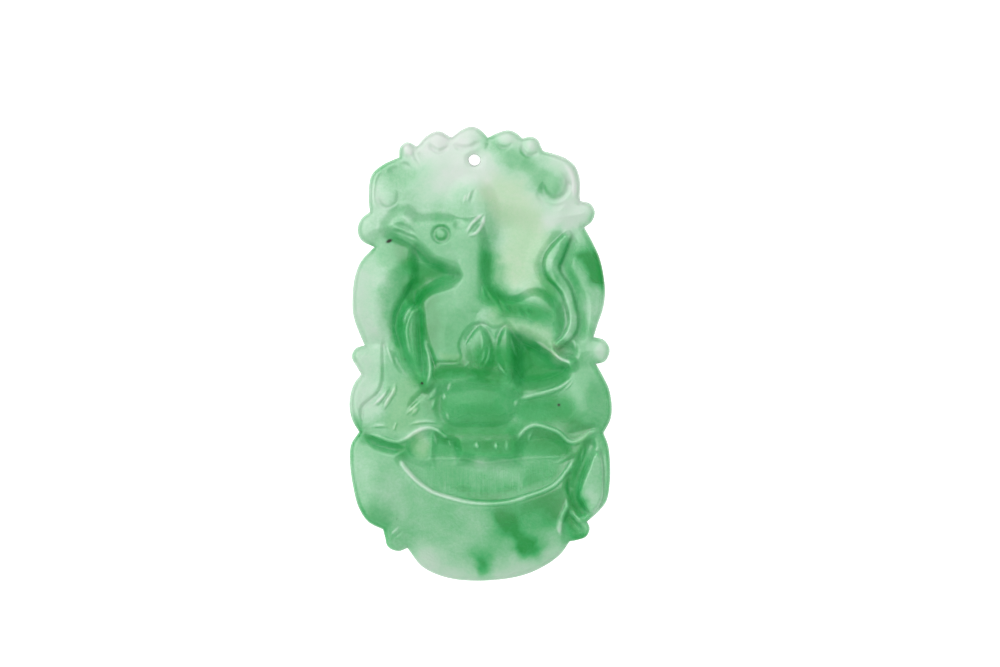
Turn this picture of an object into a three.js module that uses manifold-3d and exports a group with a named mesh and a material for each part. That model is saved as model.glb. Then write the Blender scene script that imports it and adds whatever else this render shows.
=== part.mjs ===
// A carved jade pendant lying on its back: a scalloped slab with a beast in relief and a cord hole.
// Millimetres, +Z up. The crown, which hangs from a cord, points to +Y. The origin is under the middle.
import * as THREE from "three";
import { mergeVertices } from "three/addons/utils/BufferGeometryUtils.js";
import Module from "manifold-3d";

const wasm = await Module();
wasm.setup();

// Driving sizes of the slab. It measures about 58 by 33.5, as drawn by the rim below.
const rimThickness = 4.9;
const frontRounding = 0.7;
const backRounding = 0.5;
const roundingSteps = 3;
const rimStep = 0.85;
const tallestRelief = 9;
const slopeSpread = 1.5;
const crownReach = 3;
const curveStep = 0.8;
const reliefGrid = { width: 36, length: 60, columns: 45, rows: 75 };

// The cord hole is drilled a little askew, so that less than its full circle shows from the front.
const cordHole = { x: -0.75, y: 24.75, diameter: 1.5, lean: 0.06, sides: 20 };

// Rim lobes, clockwise from the crown. Each starts at its cusp and swells through its crest.
const rimLobes = [
  { name: "crown", cusp: [-3.7, 27.6], crest: [[-2.3, 28.6], [-1.0, 28.98], [0.1, 28.5]] },
  { name: "right curl", cusp: [0.95, 27.55], crest: [[2.3, 28.2], [3.5, 28.5], [4.5, 28.2]] },
  { name: "right bead", cusp: [5.4, 27.45], crest: [[6.4, 27.7], [7.3, 27.3], [7.7, 26.5]] },
  {
    name: "right shoulder",
    cusp: [8.0, 25.85],
    crest: [[9.9, 25.35], [11.2, 24.75], [12.1, 23.9], [12.6, 22.7], [12.75, 21.4], [12.68, 20.1]],
  },
  { name: "right upper knob", cusp: [12.75, 19.5], crest: [[14.0, 19.15], [14.6, 18.1], [14.25, 16.9]] },
  {
    name: "right long lobe",
    cusp: [13.25, 16.1],
    crest: [[14.3, 14.2], [15.2, 12.2], [15.7, 10.0], [15.9, 7.8], [15.65, 5.8], [15.0, 3.9]],
  },
  { name: "right middle knob", cusp: [14.45, 2.15], crest: [[15.8, 1.75], [16.5, 0.5], [15.9, -0.95]] },
  {
    name: "right lower lobe",
    cusp: [14.75, -1.3],
    crest: [[15.6, -2.8], [16.4, -4.5], [16.75, -6.6], [16.6, -8.3]],
  },
  {
    name: "right ear",
    cusp: [15.7, -10.1],
    crest: [[16.3, -11.7], [16.55, -14.0], [16.5, -16.5], [16.1, -18.7], [15.2, -19.95]],
  },
  { name: "right tassel", cusp: [13.6, -21.4], crest: [[13.95, -22.2], [13.5, -23.3], [12.4, -23.75]] },
  {
    name: "bowl",
    cusp: [11.4, -23.95],
    crest: [[10.2, -25.6], [8.2, -27.1], [5.2, -28.35], [0.3, -28.98], [-4.2, -28.6], [-7.4, -27.2]],
  },
  { name: "left tassel", cusp: [-9.3, -24.8], crest: [[-10.5, -25.2], [-11.8, -24.6], [-12.15, -23.4]] },
  {
    name: "left ear",
    cusp: [-12.4, -22.4],
    crest: [[-14.3, -21.4], [-15.5, -19.6], [-16.2, -17.0], [-16.6, -14.2], [-16.5, -11.6]],
  },
  { name: "left lower lobe", cusp: [-15.45, -9.95], crest: [[-16.3, -8.5], [-16.7, -6.4], [-16.2, -4.0]] },
  { name: "left middle knob", cusp: [-15.2, -2.6], crest: [[-15.8, -1.6], [-16.4, -0.4], [-15.9, 0.7]] },
  {
    name: "left long lobe",
    cusp: [-14.75, 1.1],
    crest: [[-15.5, 2.8], [-16.2, 4.9], [-16.3, 7.2], [-16.0, 9.8], [-15.2, 11.8]],
  },
  { name: "left upper knob", cusp: [-13.5, 13.6], crest: [[-15.2, 14.5], [-15.65, 15.9], [-15.1, 17.3]] },
  { name: "left shoulder", cusp: [-14.1, 18.05], crest: [[-14.25, 20.2], [-13.85, 22.8], [-12.4, 24.1]] },
  { name: "left bead", cusp: [-10.35, 25.05], crest: [[-10.25, 26.3], [-9.3, 27.0]] },
  { name: "left curl", cusp: [-8.1, 26.45], crest: [[-6.8, 27.8], [-5.3, 28.4]] },
];

// The beast in relief, each part a closed outline with its rise over the ground, slope width and crown.
const beastParts = [
  {
    name: "head",
    outline: [[-12.0, 16.1], [-9.5, 17.8], [-5.0, 17.4], [-0.4, 17.2], [-1.4, 12.2], [-5.0, 11.9], [-8.2, 14.7]],
    rise: 1.2,
    slope: 1.5,
    crown: 0.45,
  },
  {
    name: "neck",
    outline: [[-3.0, 16.8], [-0.2, 16.6], [-0.2, 12.5], [-0.3, 8.0], [1.4, 5.4], [-3.4, 5.6], [-3.0, 10.6]],
    rise: 1.3,
    slope: 1.3,
    crown: 0.4,
  },
  {
    name: "chest",
    outline: [[-7.5, 7.0], [-1.5, 8.6], [1.2, 5.0], [-1.4, 2.4], [-2.0, -1.0], [-5.7, -1.2], [-7.2, 3.2]],
    rise: 1.1,
    slope: 1.2,
    crown: 0.5,
  },
  {
    name: "flank",
    outline: [[-0.6, 6.6], [3.4, 4.4], [8.2, 3.5], [11.6, -1.1], [9.7, -1.2], [6.4, 1.6], [0.6, 3.2]],
    rise: 1.0,
    slope: 1.2,
    crown: 0.3,
  },
  {
    name: "tail",
    outline: [[11.1, 15.9], [8.8, 12.6], [8.5, 10.2], [10.8, 6.0], [9.8, 1.2], [12.1, 3.6], [11.4, 8.2], [10.0, 11.4]],
    rise: 0.8,
    slope: 0.9,
    crown: 0.2,
  },
  {
    name: "foreleg",
    outline: [[-8.0, 6.4], [-9.9, 4.0], [-9.7, 0.6], [-6.9, -4.3], [-6.2, -2.6], [-7.2, 1.6], [-7.4, 4.8]],
    rise: 0.7,
    slope: 0.9,
    crown: 0.25,
  },
  {
    name: "hind leg",
    outline: [[4.4, -5.2], [7.4, -3.6], [11.3, -1.9], [12.0, -2.8], [9.2, -4.9], [5.0, -6.2]],
    rise: 0.8,
    slope: 0.8,
    crown: 0.2,
  },
  {
    name: "belly",
    outline: [[-4.5, -5.6], [-2.4, -3.7], [2.2, -3.8], [4.1, -6.0], [3.0, -8.6], [-2.4, -8.8]],
    rise: 0.6,
    slope: 1.0,
    crown: 0.5,
  },
  {
    name: "paws",
    outline: [[-2.6, -9.6], [1.0, -9.1], [4.2, -9.9], [4.2, -12.6], [-2.2, -12.9]],
    rise: 0.5,
    slope: 0.7,
    crown: 0.2,
  },
];

// Hollows cut below the ground, with negative rises.
const hollows = [
  {
    name: "under the chin",
    outline: [[-8.4, 10.6], [-3.0, 10.4], [-4.2, 9.0], [-8.6, 7.2], [-9.0, 9.0]],
    rise: -0.8,
    slope: 1.0,
    crown: 0,
  },
  {
    name: "upper field",
    outline: [[1.2, 15.0], [7.4, 14.0], [7.0, 9.6], [4.0, 7.0], [1.6, 8.6]],
    rise: -0.35,
    slope: 1.4,
    crown: 0,
  },
  {
    name: "behind the flank",
    outline: [[4.6, 2.4], [8.2, 0.5], [10.4, -1.8], [7.6, -3.2], [4.4, -2.7], [4.0, 0.4]],
    rise: -1.5,
    slope: 1.2,
    crown: 0,
  },
  {
    name: "inside the tail's bend",
    outline: [[9.2, 6.0], [10.8, 4.6], [10.2, 1.8], [9.2, 2.8]],
    rise: -0.7,
    slope: 0.9,
    crown: 0,
  },
  {
    name: "crescent",
    outline: [[-9.6, -13.4], [0.6, -13.7], [11.2, -13.3], [8.4, -17.0], [1.0, -18.5], [-6.6, -16.6]],
    rise: -0.6,
    slope: 1.3,
    crown: 0,
  },
  {
    name: "left pocket",
    outline: [[-9.4, -11.9], [-6.8, -10.2], [-6.2, -12.6], [-8.2, -12.9]],
    rise: -0.6,
    slope: 0.8,
    crown: 0,
  },
  {
    name: "right pocket",
    outline: [[5.0, -11.6], [6.8, -9.9], [10.0, -10.8], [11.4, -12.2], [8.0, -12.6]],
    rise: -0.6,
    slope: 0.9,
    crown: 0,
  },
  {
    name: "inside the right ear",
    outline: [[14.4, -11.0], [12.9, -14.6], [11.6, -17.2], [12.9, -19.8], [10.6, -17.6], [12.2, -13.6]],
    rise: -0.8,
    slope: 1.2,
    crown: 0,
  },
];

// Ridges and grooves: a smooth path, the half width of the stroke, and its rise (negative for a groove).
const strokes = [
  {
    name: "crescent lip",
    path: [[-10.2, -13.2], [-8.0, -16.2], [-4.0, -18.3], [1.0, -19.1], [6.0, -18.2], [9.8, -16.4], [11.8, -13.4]],
    reach: 1.4,
    rise: 0.6,
  },
  {
    name: "left wave",
    path: [[-14.2, -10.2], [-12.6, -10.7], [-10.6, -11.2], [-8.5, -10.1], [-6.5, -9.4], [-4.4, -10.5]],
    reach: 1.2,
    rise: 0.45,
  },
  {
    name: "right wave",
    path: [[4.7, -11.2], [6.8, -9.1], [9.8, -9.9], [11.8, -11.2], [14.2, -9.9], [15.5, -10.0]],
    reach: 1.2,
    rise: 0.45,
  },
  { name: "under the left wave", path: [[-14.6, -10.9], [-12.6, -12.1], [-9.4, -12.4]], reach: 1.2, rise: -0.6 },
  { name: "left of the tail", path: [[10.0, 14.9], [7.9, 11.2], [8.9, 9.4]], reach: 1.1, rise: -0.4 },
  { name: "right of the tail", path: [[11.3, 15.0], [10.2, 11.4], [12.3, 7.0], [12.5, 3.0]], reach: 1.2, rise: -0.4 },
  { name: "left leg groove", path: [[-8.8, 11.8], [-9.2, 8.4], [-10.8, 5.4], [-10.4, 2.0]], reach: 1.3, rise: -0.6 },
  { name: "left step", path: [[-12.3, 2.3], [-12.4, -3.6], [-15.0, -6.8], [-14.9, -9.0]], reach: 1.1, rise: -0.25 },
  { name: "left curl eye", path: [[-6.4, 27.2], [-5.3, 25.8], [-4.0, 26.9]], reach: 1.0, rise: -0.25 },
  { name: "right curl eye", path: [[2.1, 26.9], [2.9, 26.2], [4.0, 27.0]], reach: 1.0, rise: -0.25 },
  { name: "left scroll", path: [[-12.1, 23.9], [-13.2, 20.6], [-12.0, 18.7], [-10.7, 20.0]], reach: 1.1, rise: -0.3 },
  { name: "right scroll", path: [[8.0, 21.7], [8.5, 20.0], [10.0, 19.8], [11.1, 21.6]], reach: 1.1, rise: -0.4 },
  { name: "petal gap", path: [[1.7, 2.8], [1.7, 0.0], [1.9, -2.8]], reach: 1.1, rise: -0.4 },
  { name: "tassel ridge left limb", path: [[11.0, -18.4], [11.0, -19.7], [10.0, -22.2]], reach: 1.1, rise: 0.4 },
  { name: "tassel ridge right limb", path: [[11.0, -19.7], [12.2, -20.9], [13.2, -21.9]], reach: 1.0, rise: 0.4 },
];

// Round details: an eye ring and the softened mouth of the cord hole.
const eye = { x: -5.0, y: 15.2, ringRadius: 0.95, ringReach: 0.6, depth: 0.35 };
const holeMouth = { radius: 1.7, depth: 0.35 };

function softStep(value) {
  return THREE.MathUtils.smoothstep(value, 0, 1);
}

function bell(value) {
  const inner = Math.max(0, 1 - value * value);
  return inner * inner;
}

function smoothCurve(points, closed, step) {
  const corners = points.map(([x, y]) => new THREE.Vector3(x, y, 0));
  const curve = new THREE.CatmullRomCurve3(corners, closed, "centripetal");
  return curve.getSpacedPoints(Math.max(2, Math.ceil(curve.getLength() / step)));
}

function rimOutline() {
  const outline = [];
  rimLobes.forEach((lobe, index) => {
    const nextCusp = rimLobes[(index + 1) % rimLobes.length].cusp;
    const points = smoothCurve([lobe.cusp, ...lobe.crest, nextCusp], false, rimStep);
    points.slice(0, -1).forEach((point) => outline.push(new THREE.Vector2(point.x, point.y)));
  });
  // The lobes run clockwise, and a solid's outline runs the other way.
  return outline.reverse();
}

function distanceToPath(path, x, y) {
  let nearest = Infinity;
  for (let index = 1; index < path.length; index += 1) {
    const from = path[index - 1];
    const alongX = path[index].x - from.x;
    const alongY = path[index].y - from.y;
    const reach = ((x - from.x) * alongX + (y - from.y) * alongY) / (alongX * alongX + alongY * alongY);
    const share = THREE.MathUtils.clamp(reach, 0, 1);
    nearest = Math.min(nearest, Math.hypot(x - from.x - share * alongX, y - from.y - share * alongY));
  }
  return nearest;
}

function isInside(outline, x, y) {
  let inside = false;
  for (let index = 1; index < outline.length; index += 1) {
    const from = outline[index - 1];
    const to = outline[index];
    if (from.y > y !== to.y > y && x < from.x + ((to.x - from.x) * (y - from.y)) / (to.y - from.y)) {
      inside = !inside;
    }
  }
  return inside;
}

function padRise(pad, x, y) {
  const distance = distanceToPath(pad.curve, x, y);
  const depth = isInside(pad.curve, x, y) ? distance : -distance;
  return pad.rise * softStep(depth / (slopeSpread * pad.slope) + 0.5) + pad.crown * softStep(depth / crownReach);
}

function strokeRise(stroke, x, y) {
  return stroke.rise * bell(distanceToPath(stroke.curve, x, y) / stroke.reach);
}

function withCurves(details, key, closed, step) {
  return details.map((detail) => ({ ...detail, curve: smoothCurve(detail[key], closed, step) }));
}

// Height of the carved front over the back, before the rim is rounded off.
function makeReliefHeight() {
  const beast = withCurves(beastParts, "outline", true, curveStep);
  const cuts = withCurves(hollows, "outline", true, curveStep);
  const lines = withCurves(strokes, "path", false, curveStep);
  return (x, y) => {
    const fromEye = Math.hypot(x - eye.x, y - eye.y);
    const fromHole = Math.hypot(x - cordHole.x, y - cordHole.y);
    let height = rimThickness;
    height += Math.max(...beast.map((pad) => padRise(pad, x, y)));
    height += Math.min(...cuts.map((pad) => padRise(pad, x, y)));
    lines.forEach((stroke) => {
      height += strokeRise(stroke, x, y);
    });
    height -= eye.depth * bell((fromEye - eye.ringRadius) / eye.ringReach);
    height -= holeMouth.depth * bell(fromHole / holeMouth.radius);
    return height;
  };
}

function toSolid(geometry) {
  geometry.deleteAttribute("normal");
  geometry.deleteAttribute("uv");
  const merged = mergeVertices(geometry, 1e-4);
  const vertProperties = new Float32Array(merged.attributes.position.array);
  const triVerts = new Uint32Array(merged.index.array);
  return new wasm.Manifold(new wasm.Mesh({ numProp: 3, vertProperties, triVerts }));
}

function toGeometry(solid) {
  const mesh = solid.getMesh();
  const geometry = new THREE.BufferGeometry();
  geometry.setAttribute("position", new THREE.BufferAttribute(new Float32Array(mesh.vertProperties), 3));
  geometry.setIndex(new THREE.BufferAttribute(new Uint32Array(mesh.triVerts), 1));
  return geometry;
}

// Moves every corner of a closed outline inwards, at a mitre where two edges meet.
function insetOutline(outline, inset) {
  const longestMitre = 1.5;
  return outline.map((corner, index) => {
    const before = outline[(index + outline.length - 1) % outline.length];
    const after = outline[(index + 1) % outline.length];
    const edgeIn = corner.clone().sub(before).normalize();
    const edgeOut = after.clone().sub(corner).normalize();
    const inward = new THREE.Vector2(-edgeIn.y - edgeOut.y, edgeIn.x + edgeOut.x).normalize();
    const squareness = inward.dot(new THREE.Vector2(-edgeIn.y, edgeIn.x));
    const mitre = Math.min(longestMitre, 1 / Math.max(squareness, 1 / longestMitre));
    return corner.clone().addScaledVector(inward, inset * mitre);
  });
}

// Levels of the rounded edge, from the flat back up the wall and over the front's shoulder.
function edgeLevels() {
  const levels = [];
  for (let step = 0; step <= roundingSteps; step += 1) {
    const turn = (step / roundingSteps) * (Math.PI / 2);
    levels.push({ inset: backRounding * (1 - Math.sin(turn)), z: backRounding * (1 - Math.cos(turn)) });
  }
  for (let step = 0; step <= roundingSteps; step += 1) {
    const turn = (step / roundingSteps) * (Math.PI / 2);
    const rise = frontRounding * Math.sin(turn);
    levels.push({ inset: frontRounding * (1 - Math.cos(turn)), z: rimThickness - frontRounding + rise });
  }
  levels.push({ inset: frontRounding, z: tallestRelief });
  return levels;
}

function makeRoundedSlab() {
  const outline = rimOutline();
  const levels = edgeLevels();
  const rings = levels.map((level) => insetOutline(outline, level.inset));
  const count = outline.length;
  const positions = [];
  rings.forEach((ring, row) => ring.forEach((corner) => positions.push(corner.x, corner.y, levels[row].z)));
  const faces = [];
  for (let row = 1; row < rings.length; row += 1) {
    for (let index = 0; index < count; index += 1) {
      const next = (index + 1) % count;
      const low = (row - 1) * count;
      const high = row * count;
      faces.push(low + index, low + next, high + next, low + index, high + next, high + index);
    }
  }
  const top = (rings.length - 1) * count;
  THREE.ShapeUtils.triangulateShape(rings[0], []).forEach(([a, b, c]) => faces.push(a, c, b));
  THREE.ShapeUtils.triangulateShape(rings.at(-1), []).forEach(([a, b, c]) => faces.push(top + a, top + b, top + c));
  const geometry = new THREE.BufferGeometry();
  geometry.setAttribute("position", new THREE.Float32BufferAttribute(positions, 3));
  geometry.setIndex(faces);
  return toSolid(geometry);
}

function makeReliefBlock() {
  const { width, length, columns, rows } = reliefGrid;
  const geometry = new THREE.BoxGeometry(width, length, 2, columns, rows, 1);
  const reliefHeight = makeReliefHeight();
  const position = geometry.attributes.position;
  for (let index = 0; index < position.count; index += 1) {
    if (position.getZ(index) > 0) {
      position.setZ(index, reliefHeight(position.getX(index), position.getY(index)));
    }
  }
  return toSolid(geometry);
}

function makeCordHole() {
  const radius = cordHole.diameter / 2;
  const geometry = new THREE.CylinderGeometry(radius, radius, 3 * tallestRelief, cordHole.sides);
  geometry.rotateX(Math.PI / 2 + cordHole.lean);
  geometry.translate(cordHole.x, cordHole.y, rimThickness / 2);
  return toSolid(geometry);
}

function makePendant() {
  const carved = makeRoundedSlab().intersect(makeReliefBlock()).subtract(makeCordHole());
  const jade = new THREE.MeshStandardMaterial({ color: "#6db383", roughness: 0.12, metalness: 0 });
  const pendant = new THREE.Mesh(toGeometry(carved), jade);
  pendant.name = "pendant";
  return pendant;
}

const part = new THREE.Group();
part.add(makePendant());

export default part;
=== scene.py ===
"""The looks of a carved jade pendant lying on its flat back.

Lengths in the tables are millimetres in the pendant's own frame: the crown to +Y, the carved front to +Z.
"""

import math

import bpy
import numpy as np
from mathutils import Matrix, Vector, noise
from mathutils.geometry import delaunay_2d_cdt


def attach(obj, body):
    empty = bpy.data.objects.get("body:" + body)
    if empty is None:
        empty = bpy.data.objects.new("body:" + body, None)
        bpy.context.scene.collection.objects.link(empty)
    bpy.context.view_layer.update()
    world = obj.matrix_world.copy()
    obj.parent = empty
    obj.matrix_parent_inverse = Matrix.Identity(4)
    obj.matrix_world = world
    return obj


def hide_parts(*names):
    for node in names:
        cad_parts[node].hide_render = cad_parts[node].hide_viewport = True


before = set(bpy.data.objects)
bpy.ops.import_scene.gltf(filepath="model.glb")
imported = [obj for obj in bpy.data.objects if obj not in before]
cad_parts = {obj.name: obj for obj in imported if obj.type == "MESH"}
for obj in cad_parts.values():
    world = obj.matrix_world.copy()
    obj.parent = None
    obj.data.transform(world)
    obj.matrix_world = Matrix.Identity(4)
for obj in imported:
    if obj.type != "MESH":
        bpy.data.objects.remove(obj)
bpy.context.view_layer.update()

MM = 0.001

# The slab.
RIM_THICKNESS = 4.9
FRONT_ROUNDING = 0.75
BACK_ROUNDING = 0.6
TALLEST = 6.42
DOME = {"rise": 0.25, "reach": 4.0}
HOLE = {"x": -0.75, "y": 24.75, "radius": 0.75, "lean": 0.06, "sides": 40}

# Spacing of the mesh.
RIM_STEP = 0.3
FRONT_PITCH = 0.15
BACK_PITCH = 0.9
ROUNDING_STEPS = 6
WALL_STEPS = 5
CURVE_STEP = 0.15
OUTLINE_STEP = 0.25
ZONE_STEP = 0.5
CURVE_SAMPLES = 24
CHUNK = 4000

# How far the mesh's points keep from the rim and the hole: a share of a row's inset, then of the pitch.
ROW_CLEARANCE = 0.93
RIM_CLEARANCE = 0.5
HOLE_CLEARANCE = 0.6

# The triangulation keeps what is inside its outline, and would merge points closer than this.
KEEP_INSIDE = 1
MERGE_DISTANCE = 1e-6

# Stands in for a rise of 0 where something is divided by it.
TINY = 1e-9

# An area's outline lies this far up its wall.
WALL_MIDDLE = 0.5

# Strokes come to a point over this length, or this share of them, and keep part of their width there.
POINT_LENGTH = 1.3
POINT_SHARE = 0.45
BLUNT_SHARE = 0.35

# How the zones of colour blend over the ground between them, and the noise that makes their edges cloudy.
GROUND = {"level": 0.45, "weight": 0.02}
ZONE_FALL = 2
ZONE_EDGE = 1.3
CLOUD_SPREAD = 1.6
CLOUD_SEED = 3
ZONE_WARP = {"scale": 0.35, "reach": 0.9, "octaves": 3}

# Ridges are paler, a painted highlight on their crests, in full from this rise on. Below the top of the
# recess the polish fades.
CREST_PAINTED_HIGHLIGHT = 0.34
CREST_HEIGHT = 0.12
RECESS = {"top": 4.75, "depth": 0.9}

# Finish of the stone. Colours are linear light.
JADE_TONES = [
    (0.0, (0.51, 0.57, 0.52)),
    (0.25, (0.31, 0.53, 0.36)),
    (0.5, (0.135, 0.43, 0.2)),
    (0.75, (0.045, 0.355, 0.11)),
    (1.0, (0.006, 0.26, 0.045)),
]
WARM_TINT = (1.0, 0.97, 0.8)
DIRT = (0.012, 0.018, 0.008)
JADE_IOR = 1.66
SCATTER = {"weight": 0.75, "radius": (0.7, 1.0, 0.75), "scale": 0.0012}
SHINY = {"specular": 0.6, "roughness": 0.13, "pits": 0.1}
MATT = {"specular": 0.15, "roughness": 0.32, "pits": 0.8}
BUMP = {"strength": 0.2, "distance": 0.00008}

# Each noise in the stone: its scale and detail, then roughness and distortion where they are set.
# A range is the part of a noise's values that is used.
CLOUD_NOISE = (260.0, 5.0, 0.55, 0.4)
GRAIN_NOISE = (2600.0, 4.0, 0.7)
HAIR_NOISE = (4800.0, 2.0)
SMEAR_NOISE = (500.0, 3.0)
PIT_NOISE = (3800.0, 2.0)
RIPPLE_NOISE = (420.0, 2.0)
HAIR_STRETCH = (1.0, 0.04, 0.04)
SOFT_RANGE = (0.3, 0.7)
FINE_RANGE = (0.35, 0.65)

# How much each noise changes the green, the roughness or the height. Milk is mottled less than green.
CLOUD_SHIFT = 0.1
GRAIN_SHIFT = 0.055
HAIR_SHIFT = 0.05
MILK_MOTTLE = 0.3
FULL_MOTTLE_GREEN = 0.5
SMEAR_ROUGHNESS = 0.05
RIPPLE_HEIGHT = 1.2
HAIR_HEIGHT = 0.5

# The photograph's framing and the studio.
PHOTO_WIDTH, PHOTO_HEIGHT = 1000, 667
PENDANT_PIXEL = (480.3, 353.8)
MM_PER_PIXEL = 0.12726
CAMERA_HEIGHT = 700.0
SENSOR = 36.0
FLOOR_SIZE = 4.0
FLOOR_ALBEDO = 0.5
FLOOR_GLOW = 0.95
WHITE = (1.0, 1.0, 1.0, 1.0)
SKY = {"low": 0.42, "high": 1.0, "edge": 0.25, "full": 0.9}
LAMP = {"toward": (-0.3, 0.32, 0.9), "light": 2.2, "edge": 0.76, "full": 1.0}

# The rim, clockwise from the crown: each lobe starts at its cusp and swells through its crest.
RIM_LOBES = {
    "crown": [(-3.7, 27.6), (-2.3, 28.6), (-1, 28.98), (0.1, 28.5)],
    "right curl": [(0.95, 27.55), (2.3, 28.2), (3.5, 28.5), (4.5, 28.2)],
    "right bead": [(5.4, 27.45), (6.4, 27.7), (7.3, 27.3), (7.7, 26.5)],
    "right shoulder": [(8, 25.85), (9.9, 25.35), (11.2, 24.75), (12.1, 23.9), (12.6, 22.7), (12.75, 21.4),
        (12.68, 20.1)],
    "right upper knob": [(12.75, 19.5), (14, 19.15), (14.6, 18.1), (14.25, 16.9)],
    "right long lobe": [(13.25, 16.1), (14.3, 14.2), (15.2, 12.2), (15.7, 10), (15.9, 7.8), (15.65, 5.8),
        (15, 3.9)],
    "right middle knob": [(14.45, 2.15), (15.8, 1.75), (16.5, 0.5), (15.9, -0.95)],
    "right lower lobe": [(14.75, -1.3), (15.6, -2.8), (16.4, -4.5), (16.75, -6.6), (16.6, -8.3)],
    "right ear": [(15.7, -10.1), (16.3, -11.7), (16.55, -14), (16.5, -16.5), (16.1, -18.7), (15.2, -19.95)],
    "right tassel": [(13.6, -21.4), (13.95, -22.2), (13.5, -23.3), (12.4, -23.75)],
    "bowl": [(11.4, -23.95), (10.2, -25.6), (8.2, -27.1), (5.2, -28.35), (0.3, -28.98), (-4.2, -28.6),
        (-7.4, -27.2)],
    "left tassel": [(-9.3, -24.8), (-10.5, -25.2), (-11.8, -24.6), (-12.15, -23.4)],
    "left ear": [(-12.4, -22.4), (-14.3, -21.4), (-15.5, -19.6), (-16.2, -17), (-16.6, -14.2),
        (-16.5, -11.6)],
    "left lower lobe": [(-15.45, -9.95), (-16.3, -8.5), (-16.7, -6.4), (-16.2, -4)],
    "left middle knob": [(-15.2, -2.6), (-15.8, -1.6), (-16.4, -0.4), (-15.9, 0.7)],
    "left long lobe": [(-14.75, 1.1), (-15.5, 2.8), (-16.2, 4.9), (-16.3, 7.2), (-16, 9.8), (-15.2, 11.8)],
    "left upper knob": [(-13.5, 13.6), (-15.2, 14.5), (-15.65, 15.9), (-15.1, 17.3)],
    "left shoulder": [(-14.1, 18.05), (-14.25, 20.2), (-13.85, 22.8), (-12.4, 24.1)],
    "left bead": [(-10.35, 25.05), (-10.25, 26.3), (-9.3, 27)],
    "left curl": [(-8.1, 26.45), (-6.8, 27.8), (-5.3, 28.4)],
}


def pad(outline, rise, slope=1.0, crown=0.0, reach=2.5):
    """A raised or sunk area. Its outline lies halfway up a wall as wide as slope. Crown swells over reach."""
    return {"outline": outline, "rise": rise, "slope": slope, "crown": crown, "reach": reach}


def stroke(path, rise, reach, shape="round", ends=None):
    """A ridge, or a groove where rise is under 0, along a path, pointed over the given shares of its ends."""
    return {"path": path, "rise": rise, "reach": reach, "shape": shape, "ends": ends}


# The beast: the highest of these at each place is what stands over the ground.
BEAST = {
    "head": pad([(-12.3, 16.2), (-11.4, 17.6), (-9.6, 18.4), (-8.2, 17.5), (-6, 17.4), (-3.4, 17.4),
        (-1.6, 17.4), (-0.2, 17.4), (0.5, 15.5), (-0.6, 12.4), (-3, 10.9), (-4.6, 11.2), (-6.2, 11.9),
        (-7.6, 13.2), (-9, 14.3), (-10.8, 15)], 0.75, 2.1, 0.08, 3.2),
    "tuft": pad([(-3.7, 18.2), (-3, 20.8), (-1.5, 21.9), (0.2, 21.4), (1.4, 19.6), (1.6, 17), (0.8, 14.5),
        (-2, 15), (-3.6, 16.6)], 0.3, 2.2, 0.1, 2),
    "neck": pad([(-4.4, 14.5), (-2, 16.8), (0.2, 16.6), (0.55, 14), (0.5, 11), (0.45, 8.9), (1, 7.3),
        (2.2, 5.9), (0, 4.6), (-3.6, 5.2), (-4, 8.2), (-3, 9.8), (-3.6, 11.6)], 0.85, 1.9, 0.06, 2.2),
    "chest": pad([(-7.6, 6.6), (-6.4, 7.8), (-4.4, 8.5), (-2.2, 9.2), (0.6, 8), (1.6, 5), (0.2, 3.9),
        (-1.2, 3), (-2.2, 1.2), (-1.9, -0.4), (-2.6, -1.4), (-4.2, -1.5), (-5.6, -1.4), (-6.5, 0.2),
        (-7.2, 2.6), (-7.5, 5)], 0.8, 1.5, 0.1, 3.6),
    "body": pad([(0.2, 8.8), (1.9, 7.6), (3.3, 6.9), (4.8, 7), (6.1, 7.7), (7.5, 7.8), (9.2, 6.6),
        (10.3, 4.8), (10.4, 2.6), (9.8, 1.2), (9.9, 0.3), (10.8, -0.5), (11.8, -0.9), (11.6, -1.9),
        (10.2, -1.3), (8.6, 0), (7.4, 0.8), (5.9, 1.4), (4.6, 2.2), (3.4, 3.2), (2.4, 3), (1.4, 3),
        (0.4, 3.6), (-1, 3.6), (-0.6, 6.2)], 0.85, 1.5, 0.1, 2.8),
    "under the chest": pad([(-5.6, 1), (-2, 4), (1.5, 4.4), (3.6, 4.2), (4.4, 2), (4.8, -2.6), (4.6, -4.6),
        (0, -3.8), (-4.6, -4.4), (-6.6, -4), (-6.2, -1.6)], 0.7, 2),
}

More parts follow.
